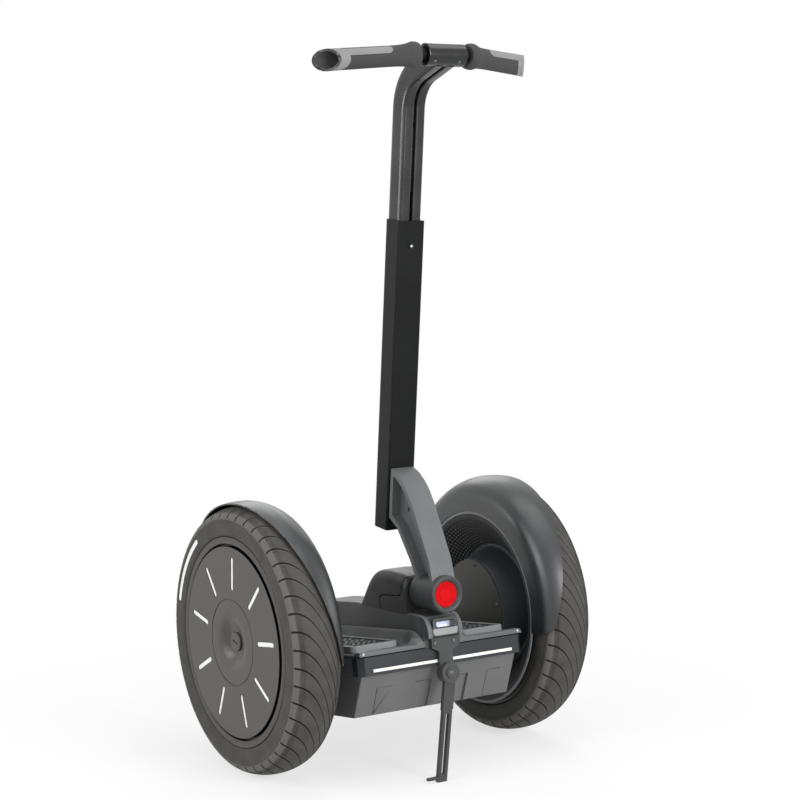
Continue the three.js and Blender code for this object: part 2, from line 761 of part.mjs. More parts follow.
function balanceSensor() {
  const bottom = castingBottom + castingFloor + boardThickness + 2 * seatGap;
  return box(-sensorHalfWidth, sensorHalfWidth, -sensorHalfWidth, sensorHalfWidth, bottom, bottom + sensorHeight);
}

// Steering pivot. Its axis is parallel to the seam between console and pivot housing.
const hubTilt = THREE.MathUtils.degToRad(hubTiltDegrees);
const pivotSlope = parkTilt - hubTilt;
const [hubY, hubZ] = toChassis(-hubReach, hubHeight);

// Places a piece that was built along y, with the hub's front face at y = 0, into the chassis frame.
function onPivotInChassis(geometry) {
  return geometry.clone().rotateX(pivotSlope).translate(0, hubY, hubZ);
}

function onPivotInWorld(geometry) {
  return geometry.clone().rotateX(-hubTilt).translate(0, -hubReach, hubHeight);
}

const housingFront = hubLength + pivotFaceGap;

function housingBlock() {
  const seamStart = consoleHubHeight + doorThickness;
  const seamSlope = (consoleRearHeight - seamStart) / (hubReach - hubLength + housingBack);
  const seam = (y) => seamStart + seatGap + (y + hubReach - hubLength) * seamSlope;
  const front = hubY + housingFront + housingLean;
  const back = housingSideShares.map(([along, up]) => [housingBack - along * hubRadius, hubZ + up * hubRadius]);
  const [, top] = back[back.length - 1];
  const side = prism('x', [
    [front, seam(front)], [housingBack, seam(housingBack)], ...back, [front, hubZ + housingNoseShare * hubRadius],
  ], -housingHalfWidth, housingHalfWidth);
  const shoulder = housingTopShares.map(([x, z]) => [x * housingHalfWidth, z * top]);
  const across = prism('y', bothSides([[housingHalfWidth, 0], ...shoulder]), front - overrun, housingBack + overrun);
  return common(side, across);
}

function housingHollow() {
  const room = rod('y', bushRadius + seatGap, housingFront + housingWall, pivotShaftLength + hubLength, pinFacets);
  const wallEnd = housingFront + housingWall + overrun;
  const bore = rod('y', pivotShaftRadius + runGap, housingFront - overrun, wallEnd, pinFacets);
  return [onPivotInChassis(room), onPivotInChassis(bore)];
}

// The split between pivot housing and cover: up the back, along the axis, then up again near the front.
function coverSide(offset) {
  const size = 2 * hubLength + hubReach;
  const middle = hubZ + offset;
  const [backShare, frontShare] = coverStepShares;
  const backStep = housingBack - backShare * hubRadius + offset;
  const frontStep = hubY + housingFront + frontShare * hubRadius;
  return prism('x', [
    [backStep, -size], [backStep, middle], [frontStep + offset, middle], [frontStep + offset, size],
    [size, size], [size, -size],
  ], -size, size);
}

function pivotHousing() {
  return cut(housingBlock(), ...housingHollow(), coverSide(-seamGap / 2));
}

function pivotCover() {
  return cut(common(housingBlock(), coverSide(seamGap / 2)), ...housingHollow());
}

function centringBush() {
  const start = housingFront + housingWall + seatGap;
  const end = hubLength + pivotShaftLength - seatGap;
  return onPivotInChassis(tube('y', pivotShaftRadius + seatGap, bushRadius, start, end, pinFacets));
}

function pivotShaft() {
  const end = hubLength + pivotShaftLength - seatGap;
  return onPivotInWorld(rod('y', pivotShaftRadius, hubLength * bushWallShare, end, pinFacets));
}

// Charge port
const pocketFace = -consoleFront + doorPocketDepth;

function chargeDoor() {
  const front = -consoleFront;
  const back = front + doorThickness;
  const hinge = doorTop - doorThickness;
  const side = prism('x', [
    [front, doorBottom], [back, doorBottom], [back, doorTop], [front + doorThickness / 2, doorTop], [front, hinge],
  ], -doorHalfWidth, doorHalfWidth);
  const opening = box(-windowHalfWidth - seatGap, windowHalfWidth + seatGap, front - overrun, back + overrun,
    windowBottom - seatGap, windowTop + seatGap);
  return cut(side, opening);
}

function doorWindow() {
  const front = -consoleFront;
  return box(-windowHalfWidth, windowHalfWidth, front - windowProud, front + doorThickness, windowBottom, windowTop);
}

function chargeInlet() {
  const front = pocketFace;
  const middle = (inletBottom + inletTop) / 2;
  const block = box(-inletHalfWidth, inletHalfWidth, front, front + inletDepth, inletBottom, inletTop);
  const mouth = box(-inletMouthHalfWidth, inletMouthHalfWidth, front - overrun, front + inletMouthDepth,
    middle - inletMouthHalfHeight, middle + inletMouthHalfHeight);
  return cut(block, mouth);
}

// Parking stand
const bracketBack = -deckHalfLength - seatGap;
const bracketFront = bracketBack - bracketThickness;
const eyeBack = bracketFront - seatGap;
const eyeFront = eyeBack - standEyeThickness;

function standBracket() {
  const neck = bracketNeckHalfWidth;
  const outline = bothSides([
    [bracketHalfWidth, bracketTop], [bracketHalfWidth, bracketBarBottom], [neck, bracketBarBottom - neck / 2],
    [neck, standPivotHeight + standEyeRadius / 2],
  ]);
  const plate = prism('y', outline, bracketFront, bracketBack);
  const disc = moved(rod('y', standEyeRadius, bracketFront, bracketBack, pinFacets), 0, 0, standPivotHeight);
  const bore = rod('y', standBoltRadius + seatGap, bracketFront - overrun, bracketBack + overrun, smallFacets);
  const hole = moved(bore, 0, 0, standPivotHeight);
  const stripRoom = box(-bracketHalfWidth, bracketHalfWidth, bracketBack - stripProud, bracketBack + overrun,
    stripBottom - runGap, stripBottom + stripHeight + runGap);
  return cut(join(plate, disc), hole, stripRoom);
}

function standBolt() {
  const shank = rod('y', standBoltRadius, eyeFront - seatGap, bracketBack - seatGap, smallFacets);
  const head = rod('y', standBoltHeadRadius, eyeFront - seatGap - standBoltHeadHeight, eyeFront - seatGap, pinFacets);
  return moved(join(shank, head), 0, 0, standPivotHeight);
}

// The leg is drawn upright in its own plane and then slanted from its eye to the foot on the ground.
function standLeg() {
  const [footY, footZ] = toChassis(-standFootReach, 0);
  const drop = standPivotHeight - footZ;
  const middle = (eyeBack + eyeFront) / 2;
  const barEnd = -drop * standBarShare;
  const half = standBarThickness / 2;
  const bar = box(-standBarWidth / 2, standBarWidth / 2, -half, half, barEnd, 0);
  const loop = box(-standLoopWidth / 2, standLoopWidth / 2, -half, half, -drop - overrun, barEnd + overrun);
  const slot = box(standProngWidth - standLoopWidth / 2, standLoopWidth / 2 - standProngWidth, -half - overrun,
    half + overrun, standFootHeight - drop, barEnd - standFootHeight / 2);
  const tab = box(-standLoopWidth / 2 - standTabLength, -standLoopWidth / 4, -half, half, standTabHeight - drop,
    2 * standTabHeight - drop);
  const leg = cut(join(bar, loop, tab), slot);
  const slant = new THREE.Matrix4().makeShear(0, 0, 0, 0, standFootOffset / drop, (middle - footY) / drop);
  leg.applyMatrix4(slant);
  leg.translate(0, middle, standPivotHeight);
  const groundTrim = new THREE.BoxGeometry(2 * standFootReach, 2 * standFootReach, standFootHeight);
  groundTrim.translate(0, -standFootReach, -standFootHeight / 2);
  groundTrim.translate(0, 0, -axleHeight).rotateX(parkTilt);
  const eye = moved(rod('y', standEyeRadius, eyeFront, eyeBack, roundFacets), 0, 0, standPivotHeight);
  const bore = rod('y', standBoltRadius + seatGap, eyeFront - overrun, eyeBack + overrun, smallFacets);
  const hole = moved(bore, 0, 0, standPivotHeight);
  const bracketRoom = moved(rod('y', standEyeRadius + runGap, eyeBack, 0, roundFacets), 0, 0, standPivotHeight);
  return cut(join(eye, leg), hole, groundTrim, bracketRoom);
}

// Steering arm
function armOutline() {
  const reach = hubReach - armSleeveReach;
  const rise = armTop - hubHeight;
  return [...armFrontShares, ...armTopShares, ...armRearShares]
    .map(([along, up]) => [along * reach - hubReach, hubHeight + up * rise]).reverse();
}

function sleeveOutline(grow) {
  return roundedOutline(sleeveHalfWidth + grow, -sleeveHalfDepth - grow, sleeveHalfDepth + grow,
    sleeveFrontCorner + grow, sleeveBackCorner + grow);
}

function inWorld(geometry) {
  return geometry.clone().rotateX(mastLean).translate(0, -mastFootReach, mastFootHeight);
}

function lowerArm() {
  const outline = armOutline();
  const pocket = inset(outline, armFlange);
  const body = prism('x', outline, -armHalfWidth, armHalfWidth);
  const recesses = [[armWebHalf, armHalfWidth + overrun], [-armHalfWidth - overrun, -armWebHalf]]
    .map(([from, to]) => prism('x', pocket, from, to));
  const sleeveRoom = inWorld(prism('z', sleeveOutline(seatGap), -sleeveLength, sleeveLength));
  const padFace = -sleeveHalfDepth - seatGap;
  const pad = common(body, inWorld(box(-armHalfWidth, armHalfWidth, padFace - armFlange, padFace, 0, sleeveLength)));
  const hub = onPivotInWorld(rod('y', hubRadius, 0, hubLength, roundFacets));
  const badgePocket = onPivotInWorld(rod('y', badgeRadius + seatGap, -overrun, badgeDepth, roundFacets));
  const boreStart = hubLength * bushWallShare - seatGap;
  const shaftBore = rod('y', pivotShaftRadius + seatGap, boreStart, hubLength + overrun, pinFacets);
  const bore = onPivotInWorld(shaftBore);
  const [holeAlong, holeUp] = armHoleShares;
  const hole = moved(rod('x', armHoleRadius, -armHalfWidth, armHalfWidth, smallFacets), 0,
    holeAlong * (hubReach - armSleeveReach) - hubReach, hubHeight + holeUp * (armTop - hubHeight));
  return cut(join(cut(body, ...recesses), pad, hub), sleeveRoom, badgePocket, bore, hole);
}

function badge() {
  return onPivotInWorld(rod('y', badgeRadius, 0, badgeDepth - seatGap, roundFacets));
}

// Mast pieces, in the leaning frame of the sleeve
function mastSleeve() {
  const outer = prism('z', sleeveOutline(0), 0, sleeveLength);
  const hollow = prism('z', sleeveOutline(-sleeveWall), sleeveWall, sleeveLength + overrun);
  const screwBore = rod('y', heightScrewRadius + seatGap, -sleeveHalfDepth - overrun, 0, smallFacets);
  const screwHole = moved(screwBore, 0, 0, heightScrewZ);
  return cut(outer, hollow, screwHole);
}

function heightScrew() {
  const face = -sleeveHalfDepth - seatGap;
  const head = rod('y', heightScrewHead, face - heightScrewHeadHeight, face, smallFacets);
  const shank = rod('y', heightScrewRadius, face, sleeveWall + heightScrewReach - sleeveHalfDepth, smallFacets);
  return moved(join(head, shank), 0, 0, heightScrewZ);
}

function mastOutline() {
  const halfWidth = sleeveHalfWidth - sleeveWall - seatGap;
  const halfDepth = sleeveHalfDepth - sleeveWall - seatGap;
  const floor = halfDepth - mastGrooveDepth;
  const floorHalfWidth = mastGrooveHalfWidth * mastGrooveFloorShare;
  const right = [
    [floorHalfWidth, -floor], [mastGrooveHalfWidth, -halfDepth],
    ...arcPoints(halfWidth - mastCorner, mastCorner - halfDepth, mastCorner, -90, 0, cornerSteps),
    ...arcPoints(halfWidth - mastCorner, halfDepth - mastCorner, mastCorner, 0, 90, cornerSteps),
    [mastGrooveHalfWidth, halfDepth], [floorHalfWidth, floor],
  ];
  return bothSides(right);
}

class BendCurve extends THREE.Curve {
  constructor(start, radius, angle, tail) {
    super();
    Object.assign(this, { start, radius, angle, tail });
  }

  getPoint(t) {
    const arc = this.radius * this.angle;
    const along = t * (arc + this.tail);
    const turn = Math.min(along, arc) / this.radius;
    const beyond = Math.max(along - arc, 0);
    const y = -this.radius * (1 - Math.cos(turn)) - beyond * Math.sin(turn);
    return new THREE.Vector3(0, y, this.start + this.radius * Math.sin(turn) + beyond * Math.cos(turn));
  }
}

const mastBend = THREE.MathUtils.degToRad(mastBendDegrees);
const mastCurve = new BendCurve(mastStraightTop - weldDistance, mastBendRadius, mastBend, mastTail);
const mastEnd = mastCurve.getPoint(1);
const clampCentre = mastEnd.clone().applyAxisAngle(new THREE.Vector3(1, 0, 0), mastLean)
  .add(new THREE.Vector3(0, -mastFootReach, mastFootHeight));

function innerMast() {
  const outline = mastOutline();
  const straight = prism('z', outline, mastFoot, mastStraightTop);
  const clampY = mastEnd.y;
  const clampZ = mastEnd.z;
  const shape = new THREE.Shape(outline.map(([x, y]) => new THREE.Vector2(x, -y)));
  const bend = new THREE.ExtrudeGeometry(shape, { steps: mastBendSteps, extrudePath: mastCurve, bevelEnabled: false });
  const reach = sleeveHalfWidth + overrun;
  const clampRoom = moved(rod('x', clampRadius + seatGap, -reach, reach, roundFacets), 0, clampY, clampZ);
  const clampFront = box(-reach, reach, clampY - clampRadius * 3, clampY - clampRadius / 2, clampZ - clampRadius * 2,
    clampZ + clampRadius * 3);
  const bores = [1, -1].map((side) => {
    const hole = rod('z', mastBoreHalfWidth, mastFoot - overrun, mastStraightTop, smallFacets);
    hole.scale(1, mastBoreHalfDepth / mastBoreHalfWidth, 1);
    return moved(hole, side * (sleeveHalfWidth - sleeveWall + mastGrooveHalfWidth) / 2, 0, 0);
  });
  return cut(join(straight, bend), clampRoom, clampFront, ...bores);
}

// Handlebar, clamp and grips, in the ground frame
const gripStart = new THREE.Vector3(barBendPlane, clampCentre.y, clampCentre.z);
const gripEnd = gripStart.clone().add(new THREE.Vector3(gripSpan, gripSetback, -gripDrop));
const gripLength = gripStart.distanceTo(gripEnd);

// Turns a piece built along x into the left grip's place, keeping its z side up.
function onGrip(geometry) {
  const ex = gripEnd.clone().sub(gripStart).normalize();
  const ey = new THREE.Vector3(0, 0, 1).cross(ex).normalize();
  const ez = ex.clone().cross(ey);
  const matrix = new THREE.Matrix4().makeBasis(ex, ey, ez).setPosition(gripStart);
  return geometry.clone().applyMatrix4(matrix);
}

function handlebar() {
  const bend = gripEnd.clone().sub(gripStart).angleTo(new THREE.Vector3(1, 0, 0));
  const knee = barRadius * Math.tan(bend / 2);
  const straight = rod('x', barRadius, -barBendPlane - knee, barBendPlane + knee, pinFacets);
  const middle = moved(straight, 0, clampCentre.y, clampCentre.z);
  const side = onGrip(rod('x', barRadius, -knee, gripHollowStart, pinFacets));
  return join(middle, side, mirrorSide(side));
}

function barClamp() {
  const sleeve = tube('x', barRadius + seatGap, clampRadius, -clampHalfLength, clampHalfLength, roundFacets);
  return moved(sleeve, 0, clampCentre.y, clampCentre.z);
}

// Everything past the slanted end of a grip, moved back by an offset.
function pastGripEnd(offset) {
  const size = 4 * gripHollowRadius;
  const slab = box(-offset, 2 * size, -2 * size, 2 * size, -size, size);
  slab.rotateZ(-THREE.MathUtils.degToRad(gripCutDegrees));
  return moved(slab, gripLength, 0, 0);
}

function trimZone(grow) {
  const halfWidth = trimStripHalfWidth + grow;
  const strip = box(trimStripStart - grow, gripLength + gripFlangeRadius, -halfWidth, halfWidth, 0, 2 * gripFlangeRadius);
  strip.rotateX(THREE.MathUtils.degToRad(90 - trimStripDegrees));
  return join(strip, pastGripEnd(trimRingWidth + grow));
}

function gripBody() {
  const profile = gripProfileShares.map(([along, out]) => [along * gripLength, out * gripFlangeRadius]);
  const start = profile[0][0];
  const end = profile[profile.length - 1][0];
  const bore = rod('x', barRadius + seatGap, start - overrun, gripHollowStart + seatGap, pinFacets);
  const hollow = rod('x', gripHollowRadius, gripHollowStart + seatGap, end + overrun, pinFacets);
  const shell = cut(turned('x', [[start, 0], ...profile, [end, 0]], gripFacets), bore, hollow, pastGripEnd(0));
  const skinStart = trimStripStart - gripHollowRadius;
  const skin = tube('x', trimInnerRadius - seatGap, 2 * gripFlangeRadius, skinStart, end + overrun, gripFacets);
  return onGrip(cut(shell, common(skin, trimZone(seatGap))));
}

function gripTrim() {
  const skin = tube('x', trimInnerRadius, trimOuterRadius, trimStripStart, gripLength + 2 * gripFlangeRadius, gripFacets);
  return onGrip(cut(common(skin, trimZone(0)), pastGripEnd(0)));
}

// Assembly
addPair(wheels, 'tyre', moved(tyre(), trackHalf, 0, 0), 'tyreRubber');
addPair(wheels, 'wheel_rim', moved(rim(), trackHalf, 0, 0), 'wheelGrey');
addPair(wheels, 'disc_cover', moved(discCover(), trackHalf, 0, 0), 'wheelGrey');
addPair(wheels, 'inlay_ring', moved(inlayRing(), trackHalf, 0, 0), 'whiteInlay');
addPair(wheels, 'hub_cap', moved(hubCap(), trackHalf, 0, 0), 'wheelGrey');
addPair(chassis, 'output_shaft', outputShaft(), 'steel');
addPair(chassis, 'output_bearing', outputBearing(), 'steel');
addPair(chassis, 'motor_rotor', motorRotor(), 'steel');
addPair(chassis, 'motor_stator', motorStator(), 'castMetal');
addPair(chassis, 'gearbox_housing', gearboxHousing(), 'darkPlastic');
addPair(chassis, 'gearbox_cover', gearboxCover(), 'wheelGrey');
addPair(chassis, 'splash_shield', splashShield(), 'darkPlastic');
addPair(chassis, 'fender', fender(), 'fenderPlastic');
addPair(chassis, 'foot_mat', mat(), 'gripRubber');
add(chassis, 'chassis_casting', chassisCasting(), 'castMetal');
add(chassis, 'deck_tray', deckTray(), 'darkPlastic');
add(chassis, 'bumper_front', bumper(), 'darkPlastic');
add(chassis, 'bumper_rear', turnedAround(bumper()), 'darkPlastic');
add(chassis, 'reflector_front', reflectorStrip(), 'whiteInlay');
add(chassis, 'reflector_rear', turnedAround(reflectorStrip()), 'whiteInlay');
add(chassis, 'battery_front', battery(), 'greyPlastic');
add(chassis, 'battery_rear', turnedAround(battery()), 'greyPlastic');
add(chassis, 'controller_board', controllerBoard(), 'boardGreen');
add(chassis, 'balance_sensor', balanceSensor(), 'blackMetal');
add(chassis, 'pivot_housing', pivotHousing(), 'darkPlastic');
add(chassis, 'pivot_cover', pivotCover(), 'darkPlastic');
add(chassis, 'centring_bush', centringBush(), 'elastomer');
add(chassis, 'charge_door', chargeDoor(), 'lightPlastic');
add(chassis, 'door_window', doorWindow(), 'clearLens');
add(chassis, 'charge_inlet', chargeInlet(), 'blackMetal');
add(chassis, 'stand_bracket', standBracket(), 'castMetal');
add(chassis, 'stand_leg', standLeg(), 'castMetal');
add(chassis, 'stand_bolt', standBolt(), 'steel');
add(root, 'pivot_shaft', pivotShaft(), 'steel');
add(root, 'lower_arm', lowerArm(), 'castMetal');
add(root, 'badge', badge(), 'badgeRed');
add(mast, 'mast_sleeve', mastSleeve(), 'blackMetal');
add(mast, 'height_screw', heightScrew(), 'steel');
add(mast, 'inner_mast', innerMast(), 'blackMetal');
add(root, 'handlebar', handlebar(), 'blackMetal');
add(root, 'bar_clamp', barClamp(), 'blackMetal');
addPair(root, 'grip', gripBody(), 'gripRubber');
addPair(root, 'grip_trim', gripTrim(), 'lightPlastic');

export default root;
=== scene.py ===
import json
import math
from functools import partial

import bpy
from mathutils import Matrix, Vector

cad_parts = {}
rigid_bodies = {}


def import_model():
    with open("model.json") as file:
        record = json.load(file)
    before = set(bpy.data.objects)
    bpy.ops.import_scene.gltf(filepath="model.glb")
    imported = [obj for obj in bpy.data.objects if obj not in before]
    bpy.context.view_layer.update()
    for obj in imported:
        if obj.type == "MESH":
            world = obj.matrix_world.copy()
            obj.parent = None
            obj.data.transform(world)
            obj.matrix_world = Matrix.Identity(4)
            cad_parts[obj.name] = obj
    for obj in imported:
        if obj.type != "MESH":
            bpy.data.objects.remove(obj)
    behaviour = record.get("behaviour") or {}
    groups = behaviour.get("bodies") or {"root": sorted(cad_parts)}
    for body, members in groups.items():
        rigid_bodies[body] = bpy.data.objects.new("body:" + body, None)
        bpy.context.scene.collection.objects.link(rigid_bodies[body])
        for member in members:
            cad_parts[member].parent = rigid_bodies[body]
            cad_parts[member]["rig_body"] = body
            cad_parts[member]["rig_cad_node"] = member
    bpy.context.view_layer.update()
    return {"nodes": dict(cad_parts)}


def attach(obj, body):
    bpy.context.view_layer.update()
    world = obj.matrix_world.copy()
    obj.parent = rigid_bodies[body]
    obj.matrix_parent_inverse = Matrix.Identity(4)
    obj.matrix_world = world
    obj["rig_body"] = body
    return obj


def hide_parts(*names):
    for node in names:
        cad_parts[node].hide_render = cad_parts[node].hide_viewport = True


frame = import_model()
print("packed model loaded")


# Places of the part's own frames, in millimetres. Pieces are modelled in one of them and then settled.
def tilted(y, z, degrees):
    return Matrix.Translation((0, y, z)) @ Matrix.Rotation(math.radians(degrees), 4, "X")


mm = 0.001
axleHeight = 241.5
trackHalf = 268
places = {
    "chassis": tilted(0, axleHeight, -9.3),
    "pivot": tilted(-217, 333, -4.6),
    "mast": tilted(-37, 426.5, 3.9),
}
sides = {"left": 1, "right": -1}
mirrorX = Matrix.Scale(-1, 4, (1, 0, 0))
# merging distances: in millimetres while a piece is modelled, in metres once it has been settled
gaps = {"modelled": 0.004, "mirrored": 0.00001, "tool": 0.000001}


def onSide(place, sign):  # a place, mirrored for the right side
    return place if sign > 0 else place @ mirrorX


# Small helpers for modelling
def activate(piece):
    bpy.ops.object.select_all(action="DESELECT")
    piece.select_set(True)
    bpy.context.view_layer.objects.active = piece


def openEdit(piece):
    activate(piece)
    bpy.ops.object.mode_set(mode="EDIT")
    bpy.ops.mesh.select_all(action="SELECT")


def closeEdit():
    bpy.ops.object.mode_set(mode="OBJECT")


def openFaces(piece, chosen):  # edit mode, with only the chosen faces selected
    openEdit(piece)
    bpy.ops.mesh.select_mode(type="FACE")
    bpy.ops.mesh.select_all(action="DESELECT")
    closeEdit()
    for face in piece.data.polygons:
        face.select = chosen(face)
    bpy.ops.object.mode_set(mode="EDIT")


def facesUp(face):
    return face.normal.z > 0.9


def extrudeBy(shift):
    bpy.ops.mesh.extrude_region_move(TRANSFORM_OT_translate={"value": shift})


def turnOutwards():
    bpy.ops.mesh.select_all(action="SELECT")
    bpy.ops.mesh.normals_make_consistent(inside=False)
    closeEdit()


def tidyNormals(piece, gap=gaps["modelled"]):
    openEdit(piece)
    bpy.ops.mesh.remove_doubles(threshold=gap)
    bpy.ops.mesh.delete_loose()
    turnOutwards()


def splitAt(piece, height):  # an edge all round at one height, where the finish changes
    openEdit(piece)
    bpy.ops.mesh.bisect(plane_co=(0, 0, height), plane_no=(0, 0, 1))
    closeEdit()


def newestPiece(name):
    piece = bpy.context.active_object
    piece.name = name
    piece.data.name = name
    return piece


def ringOutline(name, points, fill="NOTHING"):
    bpy.ops.object.select_all(action="DESELECT")
    bpy.ops.mesh.primitive_circle_add(vertices=len(points), radius=1, fill_type=fill, location=(0, 0, 0))
    piece = newestPiece(name)
    for vertex, point in zip(piece.data.vertices, points):
        vertex.co = point
    return piece


def turnedPiece(name, profile, steps=64, axis="X"):  # profile points are (along the axis, radius)
    alongX = axis == "X"
    piece = ringOutline(name, [(a, 0, r) if alongX else (0, a, r) for a, r in profile])
    openEdit(piece)
    direction = (1, 0, 0) if alongX else (0, 1, 0)
    bpy.ops.mesh.spin(steps=steps, angle=2 * math.pi, center=(0, 0, 0), axis=direction)
    closeEdit()
    tidyNormals(piece)
    return piece


def prismPiece(name, outline, axis, start, end):  # outline points are (y, z), (x, z) or (x, y)
    at = "XYZ".index(axis)
    piece = ringOutline(name, [[*point[:at], start, *point[at:]] for point in outline], "NGON")
    openEdit(piece)
    extrudeBy([end - start if i == at else 0 for i in range(3)])
    turnOutwards()
    return piece


def boxOutline(left, low, right, high):
    return [(left, low), (right, low), (right, high), (left, high)]


def arcPoints(centre, radius, first, sweep, steps):
    turns = [math.radians(first + sweep * i / steps) for i in range(steps + 1)]
    return [(centre[0] + radius * math.cos(turn), centre[1] + radius * math.sin(turn)) for turn in turns]


def capsule(halfWidth, low, high, steps=6):  # a slot outline, long in its second coordinate
    top = arcPoints((0, high - halfWidth), halfWidth, 0, 180, steps)
    return top + arcPoints((0, low + halfWidth), halfWidth, 180, 180, steps)


def roundedBox(halfWidth, low, high, corner, steps=5):
    points = []
    for sx, sy, first in ((1, 1, 0), (-1, 1, 90), (-1, -1, 180), (1, -1, 270)):
        centre = (sx * (halfWidth - corner), high - corner if sy > 0 else low + corner)
        points += arcPoints(centre, corner, first, 90, steps)
    return points


def smoothCurve(points, steps=4):  # extra points along a smooth curve through the given ones
    out = []
    last = len(points) - 1
    for i in range(last):
        p0, p1, p2, p3 = (Vector(points[max(0, min(last, k))]) for k in (i - 1, i, i + 1, i + 2))
        for s in range(steps):
            t = s / steps
            bent = (2 * p0 - 5 * p1 + 4 * p2 - p3) * t * t
            out.append(tuple(0.5 * (2 * p1 + (p2 - p0) * t + bent + (3 * p1 - p0 - 3 * p2 + p3) * t ** 3)))
    return out + [tuple(points[-1])]


def readTable(table, value):  # straight between the rows of a table of (place, height)
    if value <= table[0][0]:
        return table[0][1]
    for (a, low), (b, high) in zip(table, table[1:]):
        if value <= b:
            return low + (high - low) * (value - a) / (b - a)
    return table[-1][1]


def softMin(a, b, blend):
    return -blend * math.log(math.exp(-a / blend) + math.exp(-b / blend))


def spacedPlaces(spans):  # places from (start, end, step) spans
    out = []
    for start, end, step in spans:
        count = max(1, round((end - start) / step))
        out += [start + (end - start) * i / count for i in range(count)]
    return out + [spans[-1][1]]


def mirroredPlaces(spans):
    half = spacedPlaces(spans)
    return [-x for x in half[:0:-1]] + half


def reliefSolid(name, xs, ys, topAt, bottomAt, lift=1000):  # a solid over a grid, with a shaped top
    across, along = len(xs) - 1, len(ys) - 1
    bpy.ops.object.select_all(action="DESELECT")
    bpy.ops.mesh.primitive_grid_add(x_subdivisions=across, y_subdivisions=along, size=2, location=(0, 0, 0))
    piece = newestPiece(name)
    for vertex in piece.data.vertices:
        x = xs[round((vertex.co.x + 1) / 2 * across)]
        y = ys[round((vertex.co.y + 1) / 2 * along)]
        vertex.co = (x, y, bottomAt(x, y))
    openEdit(piece)
    extrudeBy((0, 0, lift))
    closeEdit()
    for vertex in piece.data.vertices:
        if vertex.co.z > lift / 2:
            vertex.co.z = topAt(vertex.co.x, vertex.co.y)
    tidyNormals(piece)
    return piece


def applyModifier(piece, kind, **values):
    activate(piece)
    step = piece.modifiers.new("step", kind)
    for key, value in values.items():
        setattr(step, key, value)
    bpy.ops.object.modifier_apply(modifier=step.name)


def fitTool(piece, tool, operation="DIFFERENCE"):
    applyModifier(piece, "BOOLEAN", operation=operation, object=tool, solver="EXACT")
    bpy.data.objects.remove(tool)


def bevelEdges(piece, width, segments=2, angle=30):
    applyModifier(piece, "BEVEL", width=width, segments=segments, limit_method="ANGLE",
                  angle_limit=math.radians(angle), use_clamp_overlap=True)


def smoothFaces(piece, angle=35):
    activate(piece)
    bpy.ops.object.shade_smooth_by_angle(angle=math.radians(angle))
    applyModifier(piece, "WEIGHTED_NORMAL", keep_sharp=True, weight=80)


def finishEdges(piece, width, segments=2, angle=40, smooth=40):
    bevelEdges(piece, width, segments, angle)
    smoothFaces(piece, smooth)
    return piece


def joinPieces(name, pieces):
    activate(pieces[0])
    for piece in pieces:
        piece.select_set(True)
    bpy.ops.object.join()
    pieces[0].name = name
    return pieces[0]


def movePiece(piece, place):
    activate(piece)
    piece.matrix_world = place
    bpy.ops.object.transform_apply(location=True, rotation=True, scale=True)
    if place.determinant() < 0:
        tidyNormals(piece, gaps["mirrored"])


def copyPiece(piece, name):
    twin = piece.copy()
    twin.data = piece.data.copy()
    twin.name = name
    twin.data.name = name
    bpy.context.scene.collection.objects.link(twin)
    return twin


def assign(piece, body, slot, finish, *nodes):
    piece.data.materials.clear()
    piece.data.materials.append(finishes[finish])
    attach(piece, body)
    if nodes:
        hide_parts(*nodes)
    return piece


def settle(piece, place, body, slot, finish, *nodes):
    movePiece(piece, Matrix.Scale(mm, 4) @ place)
    return assign(piece, body, slot, finish, *nodes)


def dressNode(node, name, body, slot, finish, bevel, segments=2, smooth=35, flatDegrees=0.6):
    piece = copyPiece(frame["nodes"][node], name)  # a merged, bevelled copy of a CAD node
    piece.parent = None
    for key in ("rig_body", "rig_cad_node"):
        if key in piece:
            del piece[key]
    tidyNormals(piece, gaps["modelled"] * mm)
    openEdit(piece)
    bpy.ops.mesh.dissolve_limited(angle_limit=math.radians(flatDegrees))
    closeEdit()
    finishEdges(piece, bevel * mm, segments, 30, smooth)
    return assign(piece, body, slot, finish, node)


def paintFaces(piece, place, finish, chosen):  # another finish where a face's own place asks for it
    piece.data.materials.append(finishes[finish])
    back = place.inverted()
    for face in piece.data.polygons:
        if chosen(back @ (face.center / mm)):
            face.material_index = len(piece.data.materials) - 1


# Materials
def linear(code):
    values = [int(code[i:i + 2], 16) / 255 for i in (0, 2, 4)]
    return tuple(v / 12.92 if v <= 0.04045 else ((v + 0.055) / 1.055) ** 2.4 for v in values) + (1,)


def feed(tree, socket, value):  # links another node's output to an input, or sets it
    if isinstance(value, bpy.types.NodeSocket):
        tree.links.new(value, socket)
    elif value is not None:
        socket.default_value = value


def addNode(tree, kind, inputs={}):
    node = tree.nodes.new("ShaderNode" + kind)
    for label, value in inputs.items():
        feed(tree, node.inputs[label], value)
    return node


def reckon(tree, operation, a, b=None, clamp=False):
    node = addNode(tree, "Math")
    node.operation = operation
    node.use_clamp = clamp
    feed(tree, node.inputs[0], a)
    feed(tree, node.inputs[1], b)
    return node.outputs[0]


def mixColour(tree, factor, a, b):
    node = addNode(tree, "Mix")
    node.data_type = "RGBA"
    for label, value in (("Factor", factor), ("A", a), ("B", b)):
        feed(tree, node.inputs[label], value)
    return node.outputs["Result"]


def shaderGroup(name, inputs, outputs):
    group = bpy.data.node_groups.new(name, "ShaderNodeTree")
    group.interface.new_socket(name="Vector", in_out="INPUT", socket_type="NodeSocketVector")
    for label, value in inputs.items():
        socket = group.interface.new_socket(name=label, in_out="INPUT", socket_type="NodeSocketFloat")
        socket.default_value = value
    for label in outputs:
        group.interface.new_socket(name=label, in_out="OUTPUT", socket_type="NodeSocketFloat")
    return group, group.nodes.new("NodeGroupInput").outputs, group.nodes.new("NodeGroupOutput").inputs


